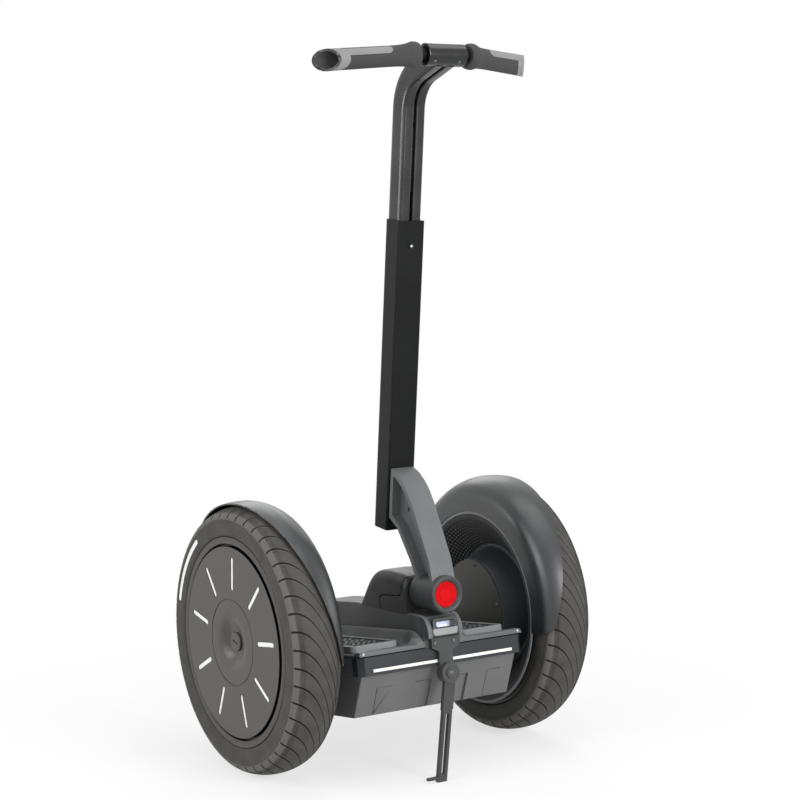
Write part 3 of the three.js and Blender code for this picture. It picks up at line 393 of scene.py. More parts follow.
def placeGroup(tree, group, vector, inputs={}):
    node = addNode(tree, "Group")
    node.node_tree = group
    for label, value in {"Vector": vector, **inputs}.items():
        feed(tree, node.inputs[label], value)
    return node.outputs


def mouldedGrain():  # a fine moulded grain, and the slow cloudiness that goes with it
    scales = {"Grain Scale": 900.0, "Cloud Scale": 14.0}
    group, given, made = shaderGroup("mouldedGrain", scales, ["Height", "Cloud"])
    vector = given["Vector"]
    fine = {"Vector": vector, "Scale": given["Grain Scale"], "Detail": 3, "Roughness": 0.62}
    slow = {"Vector": vector, "Scale": given["Cloud Scale"], "Detail": 3}
    cloud = addNode(group, "TexNoise", slow).outputs["Fac"]
    spread = addNode(group, "MapRange", {"Value": cloud, "From Min": 0.32, "From Max": 0.68})
    feed(group, made["Height"], addNode(group, "TexNoise", fine).outputs["Fac"])
    feed(group, made["Cloud"], spread.outputs["Result"])
    return group


def settledDust():  # faint dust on what faces up
    group, given, made = shaderGroup("settledDust", {"Amount": 0.1}, ["Mask"])
    noise = addNode(group, "TexNoise", {"Vector": given["Vector"], "Scale": 160, "Detail": 4}).outputs["Fac"]
    split = addNode(group, "SeparateXYZ", {"Vector": addNode(group, "NewGeometry").outputs["Normal"]})
    calc = partial(reckon, group)
    steep = calc("POWER", calc("MAXIMUM", split.outputs["Z"], 0.0), 2.0)
    feed(group, made["Mask"], calc("MULTIPLY", calc("MULTIPLY", steep, noise), given["Amount"], clamp=True))
    return group


def wheelPolar():  # distance from the axle and angle round it, for what turns with it
    group, given, made = shaderGroup("wheelPolar", {}, ["Radius", "Angle"])
    split = addNode(group, "SeparateXYZ", {"Vector": given["Vector"]}).outputs
    calc = partial(reckon, group)
    rise = calc("SUBTRACT", split["Z"], axleHeight * mm)
    squares = calc("ADD", calc("MULTIPLY", split["Y"], split["Y"]), calc("MULTIPLY", rise, rise))
    feed(group, made["Radius"], calc("SQRT", squares))
    feed(group, made["Angle"], calc("ARCTAN2", rise, split["Y"]))
    return group


grainGroup, dustGroup, polarGroup = mouldedGrain(), settledDust(), wheelPolar()
wheelPaint = {"arcInner": 203.8, "arcOuter": 212.8, "arcFrom": 11.5, "arcTo": 49.5, "arcSide": -288,
              "gapInner": 168.2, "gapOuter": 175.9}
knurl = {"pitch": 4.65, "columns": 112.0, "outer": 166.0, "lip": 179.5}
windowPaint = {"From Min": 0.005, "From Max": 0.011}


def paintTyre(tree, place, colour):  # grooves are painted dark as painted shade; the shoulder band is painted lighter as scuffing with a painted highlight, the pockets darker as painted shade, the crown slightly lighter
    for name, code in (("scuffAndPaintedLight", "63615c"), ("grooveDepth", "0f0f0f")):
        mask = addNode(tree, "Attribute")
        mask.attribute_name = name
        colour = mixColour(tree, mask.outputs["Fac"], colour, linear(code))
    polar = placeGroup(tree, polarGroup, place)
    calc = partial(reckon, tree)
    # one pale arc with round ends on the outer wall, as far from its own middle line as half its width
    middle = (wheelPaint["arcInner"] + wheelPaint["arcOuter"]) / 2 * mm
    half = (wheelPaint["arcOuter"] - wheelPaint["arcInner"]) / 2 * mm
    first, last = math.radians(wheelPaint["arcFrom"]), math.radians(wheelPaint["arcTo"])
    along = calc("ABSOLUTE", calc("SUBTRACT", polar["Angle"], (first + last) / 2))
    past = calc("MULTIPLY", calc("MAXIMUM", calc("SUBTRACT", along, (last - first) / 2), 0.0), middle)
    aside = calc("SUBTRACT", polar["Radius"], middle)
    squares = calc("ADD", calc("MULTIPLY", past, past), calc("MULTIPLY", aside, aside))
    inArc = calc("LESS_THAN", calc("SQRT", squares), half)
    sideways = addNode(tree, "SeparateXYZ", {"Vector": place}).outputs["X"]
    outerWall = calc("LESS_THAN", sideways, wheelPaint["arcSide"] * mm)
    return mixColour(tree, calc("MULTIPLY", inArc, outerWall), colour, linear("dde2db"))


def paintRim(tree, place, colour):  # the gap round the disc cover is painted near black, a painted shadow
    radius = placeGroup(tree, polarGroup, place)["Radius"]
    calc = partial(reckon, tree)
    inGap = calc("MULTIPLY", calc("GREATER_THAN", radius, wheelPaint["gapInner"] * mm),
                 calc("LESS_THAN", radius, wheelPaint["gapOuter"] * mm))
    return mixColour(tree, inGap, colour, linear("050505"))


def knurlHeight(tree, place):  # rows of small raised dots round the splash shield
    polar = placeGroup(tree, polarGroup, place)
    calc = partial(reckon, tree)
    across = calc("SINE", calc("MULTIPLY", polar["Angle"], knurl["columns"]))
    outward = calc("SINE", calc("MULTIPLY", polar["Radius"], 2 * math.pi / (knurl["pitch"] * mm)))
    dots = calc("MULTIPLY", calc("MAXIMUM", across, 0.0), calc("MAXIMUM", outward, 0.0))
    return calc("MULTIPLY", dots, calc("LESS_THAN", polar["Radius"], knurl["outer"] * mm))


def paintShield(tree, place, colour):
    radius = placeGroup(tree, polarGroup, place)["Radius"]
    # the lip and the knurl dots are painted lighter: painted highlights where they catch the light
    onLip = reckon(tree, "GREATER_THAN", radius, knurl["lip"] * mm)
    colour = mixColour(tree, onLip, colour, linear("7d8083"))
    return mixColour(tree, knurlHeight(tree, place), colour, linear("74777a"))


def paintWindow(tree, place, colour):  # a pale display that turns dark towards one end
    sideways = addNode(tree, "SeparateXYZ", {"Vector": place}).outputs["X"]
    shade = addNode(tree, "MapRange", {"Value": sideways, **windowPaint})
    return mixColour(tree, shade.outputs["Result"], colour, linear("20242f"))


# colour, roughness, specular, metallic, grain scale, bump, variation, dust
looks = {
    "tyre": ("3b3a37", 0.74, 0.35, 0, 1100, 0.3, 0.3, 0.1),
    "disc": ("3d3a38", 0.4, 0.45, 0, 1500, 0.08, 0.05, 0.05),
    "rim": ("393735", 0.45, 0.4, 0, 1200, 0.1, 0.1, 0.05),
    "cast": ("626465", 0.5, 0.4, 0.2, 1600, 0.3, 0.08, 0.05),
    "gearbox": ("2b3034", 0.45, 0.35, 0, 1400, 0.12, 0.1, 0.05),
    "gearboxCover": ("3e3d3a", 0.5, 0.3, 0, 1400, 0.12, 0.1, 0.05),
    "shield": ("161717", 0.5, 0.3, 0, 1300, 0.1, 0.1, 0.05),
    "fender": ("181b1d", 0.37, 0.7, 0, 1500, 0.1, 0.06, 0.05),
    "darkPlastic": ("222323", 0.42, 0.4, 0, 1400, 0.16, 0.1, 0.05),
    "tray": ("37393a", 0.42, 0.45, 0, 1400, 0.16, 0.1, 0.05),
    "trim": ("58595a", 0.4, 0.45, 0, 1400, 0.12, 0.1, 0.05),
    "bumper": ("202428", 0.42, 0.4, 0, 1300, 0.14, 0.1, 0.05),
    "battery": ("646464", 0.5, 0.35, 0, 1300, 0.22, 0.06, 0.05),
    # The next two finishes are near black and serve as painted shade, in the floors of the battery's grooves
    # and in gaps.
    "batteryLineShade": ("262626", 0.7, 0.1, 0, 900, 0.1, 0.1, 0),
    "gap": ("060606", 0.8, 0.05, 0, 900, 0.1, 0.1, 0),
    "blackMetal": ("0a0b0c", 0.42, 0.16, 0, 2200, 0.05, 0.1, 0.05),
    "mastTube": ("343434", 0.24, 0.6, 0.6, 2200, 0.05, 0.1, 0.05),
    "clampMetal": ("141517", 0.22, 0.7, 0.3, 2200, 0.04, 0.1, 0.05),
    "steel": ("c0c3c6", 0.3, 0.4, 0.95, 2600, 0.05, 0.1, 0),
    "darkSteel": ("5f6164", 0.35, 0.4, 0.7, 2600, 0.05, 0.1, 0),
    "stand": ("3b3c3c", 0.42, 0.45, 0.2, 1600, 0.25, 0.1, 0.05),
    # a darker copy of the cast finish: painted shade on the arm's hub and its bezel
    "hubCastShaded": ("3a3c3d", 0.45, 0.45, 0.2, 1600, 0.2, 0.08, 0.05),
    "white": ("e6e7e2", 0.4, 0.4, 0, 900, 0.05, 0.03, 0),
    "mat": ("1d1e1f", 0.66, 0.35, 0, 1000, 0.3, 0.1, 0.12),
    # The next two are lighter copies of the mat finish: painted highlights on the rib tops and on the rim.
    "matRibHighlight": ("4d4f50", 0.6, 0.35, 0, 1000, 0.2, 0.1, 0.05),
    "matRimHighlight": ("8c8e8f", 0.55, 0.4, 0, 1000, 0.2, 0.1, 0.05),
    "grip": ("3c3c3c", 0.75, 0.3, 0, 700, 0.6, 0.1, 0.05),
    "lightPlastic": ("808180", 0.5, 0.35, 0, 1100, 0.12, 0.05, 0.05),
    "panel": ("8e9090", 0.45, 0.4, 0, 1500, 0.1, 0.05, 0.05),
    "badge": ("c4000a", 0.3, 0.12, 0, 1500, 0.02, 0.05, 0),
    "window": ("c3cbea", 0.12, 0.5, 0, 1500, 0.02, 0.35, 0),
    "elastomer": ("1f1f20", 0.85, 0.25, 0, 900, 0.3, 0.1, 0.05),
    "board": ("1f5a35", 0.5, 0.4, 0, 900, 0.1, 0.3, 0.05),
}
cloudScales = {"tyre": 34, "disc": 7, "window": 90, "board": 60}  # 14 for the others
coats = {"window": (0.8, 0.05)}  # weight and roughness of a clear coat
paints = {"tyre": paintTyre, "rim": paintRim, "shield": paintShield, "window": paintWindow}
finishSizes = {"roughSpan": 0.06, "grainHeight": 0.0004, "reliefHeight": 0.0012, "reliefStrength": 0.9}


def surfaceFinish(name):
    colour, rough, specular, metallic, grainScale, bump, variation, dust = looks[name]
    material = bpy.data.materials.new(name)
    material.use_nodes = True
    tree = material.node_tree
    place = addNode(tree, "TexCoord").outputs["Object"]
    scales = {"Grain Scale": grainScale, "Cloud Scale": cloudScales.get(name, 14)}
    grain = placeGroup(tree, grainGroup, place, scales)
    base = linear(colour)[:3]
    shades = [tuple(min(1, c * (1 + change)) for c in base) + (1,) for change in (-variation, variation)]
    tint = mixColour(tree, grain["Cloud"], *shades)
    if name in paints:
        tint = paints[name](tree, place, tint)
    settled = placeGroup(tree, dustGroup, place, {"Amount": dust})["Mask"]
    span = finishSizes["roughSpan"]
    ends = {"To Min": rough - span, "To Max": rough + span}
    spread = addNode(tree, "MapRange", {"Value": grain["Cloud"], **ends})
    fine = {"Strength": bump, "Distance": finishSizes["grainHeight"], "Height": grain["Height"]}
    normal = addNode(tree, "Bump", fine).outputs["Normal"]
    if name == "shield":
        bolder = {"Strength": finishSizes["reliefStrength"], "Distance": finishSizes["reliefHeight"],
                  "Height": knurlHeight(tree, place), "Normal": normal}
        normal = addNode(tree, "Bump", bolder).outputs["Normal"]
    coat, coatRoughness = coats.get(name, (0, 0.2))
    values = {"Base Color": mixColour(tree, settled, tint, linear("9a9894")), "Metallic": metallic,
              "Roughness": spread.outputs["Result"], "Specular IOR Level": specular, "Normal": normal,
              "Coat Weight": coat, "Coat Roughness": coatRoughness}
    for label, value in values.items():
        feed(tree, tree.nodes["Principled BSDF"].inputs[label], value)
    return material


finishes = {name: surfaceFinish(name) for name in looks}
print("materials made")

# Tyres
# Of the tread paint: pocketPaint darkens the pockets as painted shade, shoulderPaint lightens the shoulder
# band as scuffing with a painted highlight on its edge, and crownPaint makes the crown slightly lighter.
tyreSizes = {
    "pitches": 46, "columns": 8, "grooveColumn": 7, "grooveDepth": 3.4, "grooveNarrowing": 0.45,
    "shallowShare": 0.45, "deepFrom": 40, "edgeFrom": 44, "edgeShare": 0.6, "pocketDepth": 0.8,
    "pocketColumns": (1, 5), "pocket": (32, 38), "pocketPaint": (30, 38.5, 228),
    "shoulderPaint": (38.5, 45.9, 221), "crownPaint": 235, "scuffAndLightShares": (0.75, -0.25, 0.12),
    "treadHalf": 45.8, "treadFoot": 220.5, "halfWidth": 46,
    "sweep": 40.0, "sweepPower": 2.1, "sweepFoot": 216, "sweepBlend": 5, "narrowFoot": 221,
    "crown": [(0, 241.4), (4, 241.35), (8, 241.1), (12, 240.7), (16, 240.1), (20, 239.3), (24, 238.2),
              (28, 236.9), (32, 235.3), (36, 233.3), (39.5, 231), (42, 228.5), (44, 225.5), (45.3, 222),
              (46.1, 218.8)],
    "wall": [(46.5, 216.6), (46.3, 214.8), (45.7, 213.4), (46.0, 210.5), (46.1, 206), (45.8, 200),
             (45.1, 194.5), (44.2, 191.2), (42.8, 189.7), (40.8, 189.3), (40.2, 188.3), (40.1, 180),
             (38.4, 178.1)],
    "inside": [(31, 178.1), (33, 200), (20, 222), (0, 227)],
}


def between(value, span):
    return span[0] < value < span[1]


def buildTyre(name):
    s = tyreSizes
    half, inner = s["crown"] + s["wall"], s["inside"]
    profile = [(-u, r) for u, r in half[:0:-1]] + half + inner + [(-u, r) for u, r in inner[-2::-1]]
    steps = s["pitches"] * s["columns"]
    step = 2 * math.pi / steps
    tyre = turnedPiece(name, profile, steps)
    mesh = tyre.data

    def pressIn(chosen, depth):  # sinks the chosen faces towards the axle, with walls round them
        openFaces(tyre, chosen)
        extrudeBy((0, 0, 0))
        closeEdit()
        moved = [v for v in mesh.vertices if v.select]
        for v in moved:
            sink = depth(v.co.x) / math.hypot(v.co.y, v.co.z)
            v.co.y -= v.co.y * sink
            v.co.z -= v.co.z * sink
        return {v.index for v in moved}

    def lineAt(place):  # how many columns round the axle
        return (math.atan2(place.z, place.y) % (2 * math.pi)) / step

    def column(face):
        return int(lineAt(face.center) + 0.001) % s["columns"]

    def onTread(face):
        centre, normal = face.center, face.normal
        outward = normal.y * centre.y + normal.z * centre.z > 0 and abs(normal.x) < 0.99
        return outward and math.hypot(centre.y, centre.z) > s["treadFoot"] and abs(centre.x) < s["treadHalf"]

    def inPocket(face):
        first, last = s["pocketColumns"]
        return onTread(face) and first <= column(face) <= last and between(abs(face.center.x), s["pocket"])

    def grooveShape(u):
        deepening = s["shallowShare"] + (1 - s["shallowShare"]) * min(1, abs(u) / s["deepFrom"])
        return s["grooveDepth"] * deepening * (1 if abs(u) < s["edgeFrom"] else s["edgeShare"])

    pressIn(inPocket, lambda u: s["pocketDepth"])
    deep = pressIn(lambda face: onTread(face) and column(face) == s["grooveColumn"], grooveShape)
    grooveDepth = mesh.attributes.new("grooveDepth", "FLOAT", "POINT")
    scuffAndPaintedLight = mesh.attributes.new("scuffAndPaintedLight", "FLOAT", "POINT")
    for v in mesh.vertices:
        u, radius = v.co.x, math.hypot(v.co.y, v.co.z)
        # a painted highlight with scuffing on the shoulder band, painted shade in the pockets, slightly
        # lighter on the crown; the groove mask paints the grooves dark as painted shade
        onShoulder, onPocket, onCrown = s["scuffAndLightShares"]
        scuffAndLight = onCrown if radius > s["crownPaint"] else 0.0
        if between(abs(u), s["pocketPaint"]) and radius > s["pocketPaint"][2]:
            scuffAndLight = onPocket
        if between(abs(u), s["shoulderPaint"]) and radius > s["shoulderPaint"][2] and v.index not in deep:
            scuffAndLight = onShoulder
        grooveDepth.data[v.index].value = 1.0 if v.index in deep else 0.0
        scuffAndPaintedLight.data[v.index].value = scuffAndLight
        if radius > s["sweepFoot"]:  # the grooves sweep back from the inner edge to the outer one
            share = max(0, min(1, (u + s["halfWidth"]) / (2 * s["halfWidth"])))
            rise = min(1, (radius - s["sweepFoot"]) / s["sweepBlend"])
            turn = math.radians(s["sweep"]) * share ** s["sweepPower"] * rise
            narrowing = step * s["grooveNarrowing"] * (1 - min(1, abs(u) / s["edgeFrom"])) / 2
            edges = {s["grooveColumn"]: narrowing, 0: -narrowing}
            turn += edges.get(round(lineAt(v.co)) % s["columns"], 0) if radius > s["narrowFoot"] else 0
            y, z = v.co.y, v.co.z
            v.co.y = y * math.cos(turn) - z * math.sin(turn)
            v.co.z = y * math.sin(turn) + z * math.cos(turn)
    activate(tyre)
    bpy.ops.object.shade_smooth_by_angle(angle=math.radians(38))
    return tyre


tyreRight = buildTyre("tyre_right_moulded")
for side, tyre in (("left", copyPiece(tyreRight, "tyre_left_moulded")), ("right", tyreRight)):
    place = Matrix.Translation((sides[side] * trackHalf, 0, axleHeight))
    settle(tyre, place, f"wheel_{side}", "tyre_rubber", "tyre", f"tyre_{side}")
print("tyres modelled")

# Wheels: rim, disc cover, inlays and cap
wheelSizes = {
    "slots": 9, "slotHalfWidth": 4.2, "slotInner": 94, "slotOuter": 153.9, "slotCut": (41, 47),
    "barRoom": 0.25, "barEndRoom": 0.3, "bar": (40, 44.3), "coverEdge": 171.2, "steps": 144,
    "rim": [(0, 19.5), (34, 19.5), (34, 36), (30, 36.6), (30, 166.5), (31, 168), (34, 168.4), (34, 175.6),
            (42.4, 175.8), (43.1, 176.4), (43.5, 178), (43.6, 182), (43.5, 186), (43.1, 187.6),
            (42.2, 188.1), (40.9, 187.4), (40.9, 177.7), (-40.9, 177.7), (-40.9, 187.4), (-42.2, 188.1),
            (-43.1, 187.6), (-43.5, 186), (-43.6, 182), (-43.3, 176), (-42.6, 172.4), (-30, 172),
            (21.5, 171.5), (22, 170), (22, 38), (20, 36), (0, 36)],
    "cover": [(34.6, 167.9), (34.6, 171.4), (44.7, 171.4), (45.3, 171.1), (45.5, 170.4), (45.5, 78.3),
              (44.3, 77.9), (44.3, 76.6), (45.35, 76.1), (45.35, 60), (45.25, 54), (44.8, 48),
              (43.7, 42.5), (41.7, 37), (39.2, 32), (37, 27.5), (35.7, 23), (35.2, 18), (34.3, 17.6),
              (34.3, 36), (35.2, 40), (41, 77), (42, 80), (42, 167.9)],
    "ring": [(39.3, 90), (39.3, 158), (41.6, 158), (41.6, 90)],
    "cap": [(34.3, 0), (34.3, 17.2), (37.9, 17.2), (38.8, 16.4), (39.2, 14), (39.3, 8), (39.3, 0)],
    "capSlot": boxOutline(-9.5, -1.5, 9.5, 1.5), "capSlotCut": (37.6, 45), "capSlotTurn": 14,
    "capBevel": 0.35, "ringSteps": 72, "capSteps": 48,
}


def slotBars(name, room, endRoom, span):  # one bar for each slot, in a ring round the axle
    s = wheelSizes
    outline = capsule(s["slotHalfWidth"] - room, s["slotInner"] + endRoom, s["slotOuter"] - endRoom)
    bars = [prismPiece(name, outline, "X", *span)]
    for i in range(1, s["slots"]):
        bars.append(copyPiece(bars[0], f"{name}{i}"))
        movePiece(bars[-1], Matrix.Rotation(2 * math.pi * i / s["slots"], 4, "X"))
    return joinPieces(name, bars)


def buildWheel(side, sign):
    s = wheelSizes
    place = onSide(Matrix.Translation((sign * trackHalf, 0, axleHeight)), sign)
    body = f"wheel_{side}"
    rim = turnedPiece(f"rim_{side}", s["rim"], s["steps"])
    smoothFaces(rim, 32)
    settle(rim, place, body, "rim_metal", "rim", f"wheel_rim_{side}")
    cover = turnedPiece(f"disc_{side}", s["cover"], s["steps"])
    fitTool(cover, slotBars("slotTool", 0, 0, s["slotCut"]))
    smoothFaces(cover, 14)
    settle(cover, place, body, "wheel_plastic", "disc", f"disc_cover_{side}")
    # the cover's outer edge takes the near-black gap finish, a painted shadow in the gap
    paintFaces(cover, place, "gap", lambda local: math.hypot(local.y, local.z) > s["coverEdge"])
    bars = slotBars("slotInsert", s["barRoom"], s["barEndRoom"], s["bar"])
    inlay = joinPieces(f"inlay_{side}", [bars, turnedPiece("insertRing", s["ring"], s["ringSteps"])])
    smoothFaces(inlay, 40)
    settle(inlay, place, body, "white_inlay", "white", f"inlay_ring_{side}")
    cap = turnedPiece(f"cap_{side}", s["cap"], s["capSteps"])
    slotTool = prismPiece("capSlot", s["capSlot"], "X", *s["capSlotCut"])
    movePiece(slotTool, Matrix.Rotation(math.radians(-s["capSlotTurn"] * sign), 4, "X"))
    fitTool(cap, slotTool)
    finishEdges(cap, s["capBevel"], 2, 40, 35)
    settle(cap, place, body, "wheel_plastic", "disc", f"hub_cap_{side}")


for side, sign in sides.items():
    buildWheel(side, sign)
print("wheels modelled")

# Splash shields, gearboxes and fenders
guardSizes = {
    "shield": [(213.3, 184.2), (213.0, 182), (213.3, 178.5), (214.3, 173), (216, 168.3), (262.2, 116),
               (262.2, 118.6), (218.7, 170.8), (216.6, 176), (215.7, 184.2)],
    "gearbox": [(266.5, 27.3), (266.5, 120), (265.5, 121), (263.4, 121), (262.6, 120), (262.4, 114),
                (260.4, 111.4), (213, 93), (211.2, 91.6), (210.7, 89.8), (210.7, 88), (258.5, 107),
                (262.5, 104), (262.5, 27.3)],
    "gearboxCover": [(210.4, 0), (210.4, 92), (207.4, 92), (206.6, 91.2), (206.4, 90.2), (206.4, 0)],
    "screwFace": 206.4, "screwCircle": 84, "screwAngles": [103, 175, 247, 319, 31], "screw": (3.6, 2.2),
    "fenderShares": [(0, 0), (0, 0.12), (0.002, 0.24), (0.007, 0.36), (0.02, 0.48), (0.046, 0.59),
                     (0.09, 0.69), (0.16, 0.785), (0.26, 0.87), (0.38, 0.94), (0.52, 0.985), (0.66, 0.996),
                     (0.8, 0.985), (0.92, 0.962), (1, 0.94)],
    "fenderFoot": 184.3, "fenderCrown": 249.6, "fenderInner": 211.5, "fenderOuter": 300, "fenderWall": 2.5,
    "fenderEnd": -43, "cornerCentre": (210, -5), "cornerRadius": 38, "cornerTurns": [22, 45, 68],
    "taperPlane": 235, "taperSlope": 0.252, "fenderBevel": 0.7, "fenderSteps": 192, "headSteps": 24,
    "headShares": [(0, 0), (0, 1), (-0.45, 0.98), (-0.85, 0.8), (-1, 0.62), (-1, 0.48), (-0.35, 0.432),
                   (-0.35, 0)],
}


def screwHead(name, radius, height, place, body, finish="darkSteel"):  # a domed head with a round socket
    profile = [(height * a, radius * b) for a, b in guardSizes["headShares"]]
    head = turnedPiece(name, profile, guardSizes["headSteps"], axis="Y")
    smoothFaces(head, 40)
    return settle(head, place, body, "steel", finish)


def buildFender(name):
    s = guardSizes
    rise, reach = s["fenderCrown"] - s["fenderFoot"], s["fenderOuter"] - s["fenderInner"]
    shape = [(s["fenderInner"] + a * reach, s["fenderFoot"] + b * rise) for a, b in s["fenderShares"]]
    outside = smoothCurve(shape)
    inside = []
    for i, point in enumerate(outside):
        ahead, behind = outside[min(i + 1, len(outside) - 1)], outside[max(i - 1, 0)]
        along = (Vector(ahead) - Vector(behind)).normalized()
        inside.append((point[0] + along.y * s["fenderWall"], point[1] - along.x * s["fenderWall"]))
    fender = turnedPiece("fenderWork", outside + inside[::-1], s["fenderSteps"])
    cuts = [((0, 0, s["fenderEnd"]), (0, 0, -1)), ((s["taperPlane"], 0, 0), (1, 0, -s["taperSlope"]))]
    for degrees in s["cornerTurns"]:  # flats that round the lower corners off
        aside, down = math.sin(math.radians(degrees)), math.cos(math.radians(degrees))
        y = s["cornerCentre"][0] + s["cornerRadius"] * aside
        z = s["cornerCentre"][1] - s["cornerRadius"] * down
        cuts += [((0, end * y, z), (0, end * aside, -down)) for end in (1, -1)]
    for point, normal in cuts:
        openEdit(fender)
        bpy.ops.mesh.bisect(plane_co=point, plane_no=normal, use_fill=True, clear_outer=True)
        closeEdit()
    tidyNormals(fender)
    finishEdges(fender, s["fenderBevel"], 2, 50)
    fender.name = name
    return fender


def buildGuards(side, sign):
    s = guardSizes
    place = onSide(places["chassis"], sign)
    turned = [("shield", "shield", 192, "dark_plastic", "shield", "splash_shield"),
              ("gearbox", "gearbox", 128, "cast_metal", "gearbox", "gearbox_housing"),
              ("gearbox_lid", "gearboxCover", 128, "cast_metal", "gearboxCover", "gearbox_cover")]
    for name, profile, steps, slot, finish, node in turned:
        piece = turnedPiece(f"{name}_{side}", s[profile], steps)
        smoothFaces(piece, 30)
        settle(piece, place, "chassis", slot, finish, f"{node}_{side}")
    for i, degrees in enumerate(s["screwAngles"]):
        y, z = (s["screwCircle"] * part(math.radians(degrees)) for part in (math.cos, math.sin))
        seat = place @ Matrix.Translation((s["screwFace"], y, z)) @ Matrix.Rotation(-math.pi / 2, 4, "Z")
        screwHead(f"lid_screw_{side}_{i}", *s["screw"], seat, "chassis")
    settle(buildFender(f"guard_{side}"), place, "chassis", "fender_plastic", "fender", f"fender_{side}")


for side, sign in sides.items():
    buildGuards(side, sign)
print("guards modelled")

# Foot mats: a raised rim round rows of slanting ribs
matSizes = {
    "outer": 163, "inner": 66, "halfLength": 164, "bottom": -32.7, "top": -20.2, "corner": 13, "rim": 9,
    "sink": 2.6, "bevel": (3.6, 4), "ribPitch": 11, "ribWidth": 6.4, "ribLength": 36, "ribGap": 6,
    "ribSlant": 33, "ribRoom": 2, "ribFoot": 0.4, "ribDrop": 0.1, "ribBevel": 0.5, "leastRib": 4,
    "rimPaint": 0.5, "ribPaint": 1.2,
}


def matRibs(limit):
    s = matSizes
    shift = math.tan(math.radians(s["ribSlant"])) * s["ribLength"]
    rowPitch = s["ribLength"] + s["ribGap"]
    rowCount = int((2 * s["halfLength"] - 2 * s["rim"] - 2 * s["ribRoom"]) / rowPitch)
    low, high = s["top"] - s["sink"] - s["ribFoot"], s["top"] - s["ribDrop"]
    ribs = []
    for row in range(rowCount):
        y0 = (row - rowCount / 2) * rowPitch + s["ribGap"] / 2
        y1 = y0 + s["ribLength"]
        x = -limit - shift
        while x < limit:
            corners = (x, x + s["ribWidth"], x + s["ribWidth"] + shift, x + shift)
            a, b, c, d = (max(-limit, min(limit, corner)) for corner in corners)
            if c - a > s["leastRib"] and b - a + c - d > s["ribWidth"]:
                ribs.append(prismPiece("rib", [(a, y0), (b, y0), (c, y1), (d, y1)], "Z", low, high))
            x += s["ribPitch"]
    ribs = joinPieces("ribs", ribs)
    bevelEdges(ribs, s["ribBevel"], 1, 40)
    return ribs


def buildMat(side, sign):
    s = matSizes
    middle = (s["outer"] + s["inner"]) / 2
    half, length = s["outer"] - middle, s["halfLength"]
    outline = roundedBox(half, -length, length, s["corner"])
    base = prismPiece(f"mat_{side}", outline, "Z", s["bottom"], s["top"])
    openFaces(base, facesUp)
    bpy.ops.mesh.inset(thickness=s["rim"], depth=0)
    extrudeBy((0, 0, -s["sink"]))
    closeEdit()
    bevelEdges(base, *s["bevel"], 40)
    mat = joinPieces(f"mat_{side}", [base, matRibs(half - s["rim"] - s["ribRoom"])])
    smoothFaces(mat, 40)
    place = places["chassis"] @ Matrix.Translation((sign * middle, 0, 0))
    settle(mat, place, "chassis", "mat_rubber", "mat", f"foot_mat_{side}")
    inset = s["rim"] - s["rimPaint"]

    def onRim(local):
        return abs(local.x) > half - inset or abs(local.y) > length - inset

    # the rim and the rib tops are painted lighter, painted highlights where they catch the light
    paintFaces(mat, place, "matRimHighlight", onRim)
    paintFaces(mat, place, "matRibHighlight", lambda local: local.z > s["top"] - s["ribPaint"] and not onRim(local))


for side, sign in sides.items():
    buildMat(side, sign)
dressNode("chassis_casting", "casting", "chassis", "cast_metal", "cast", 1.2)

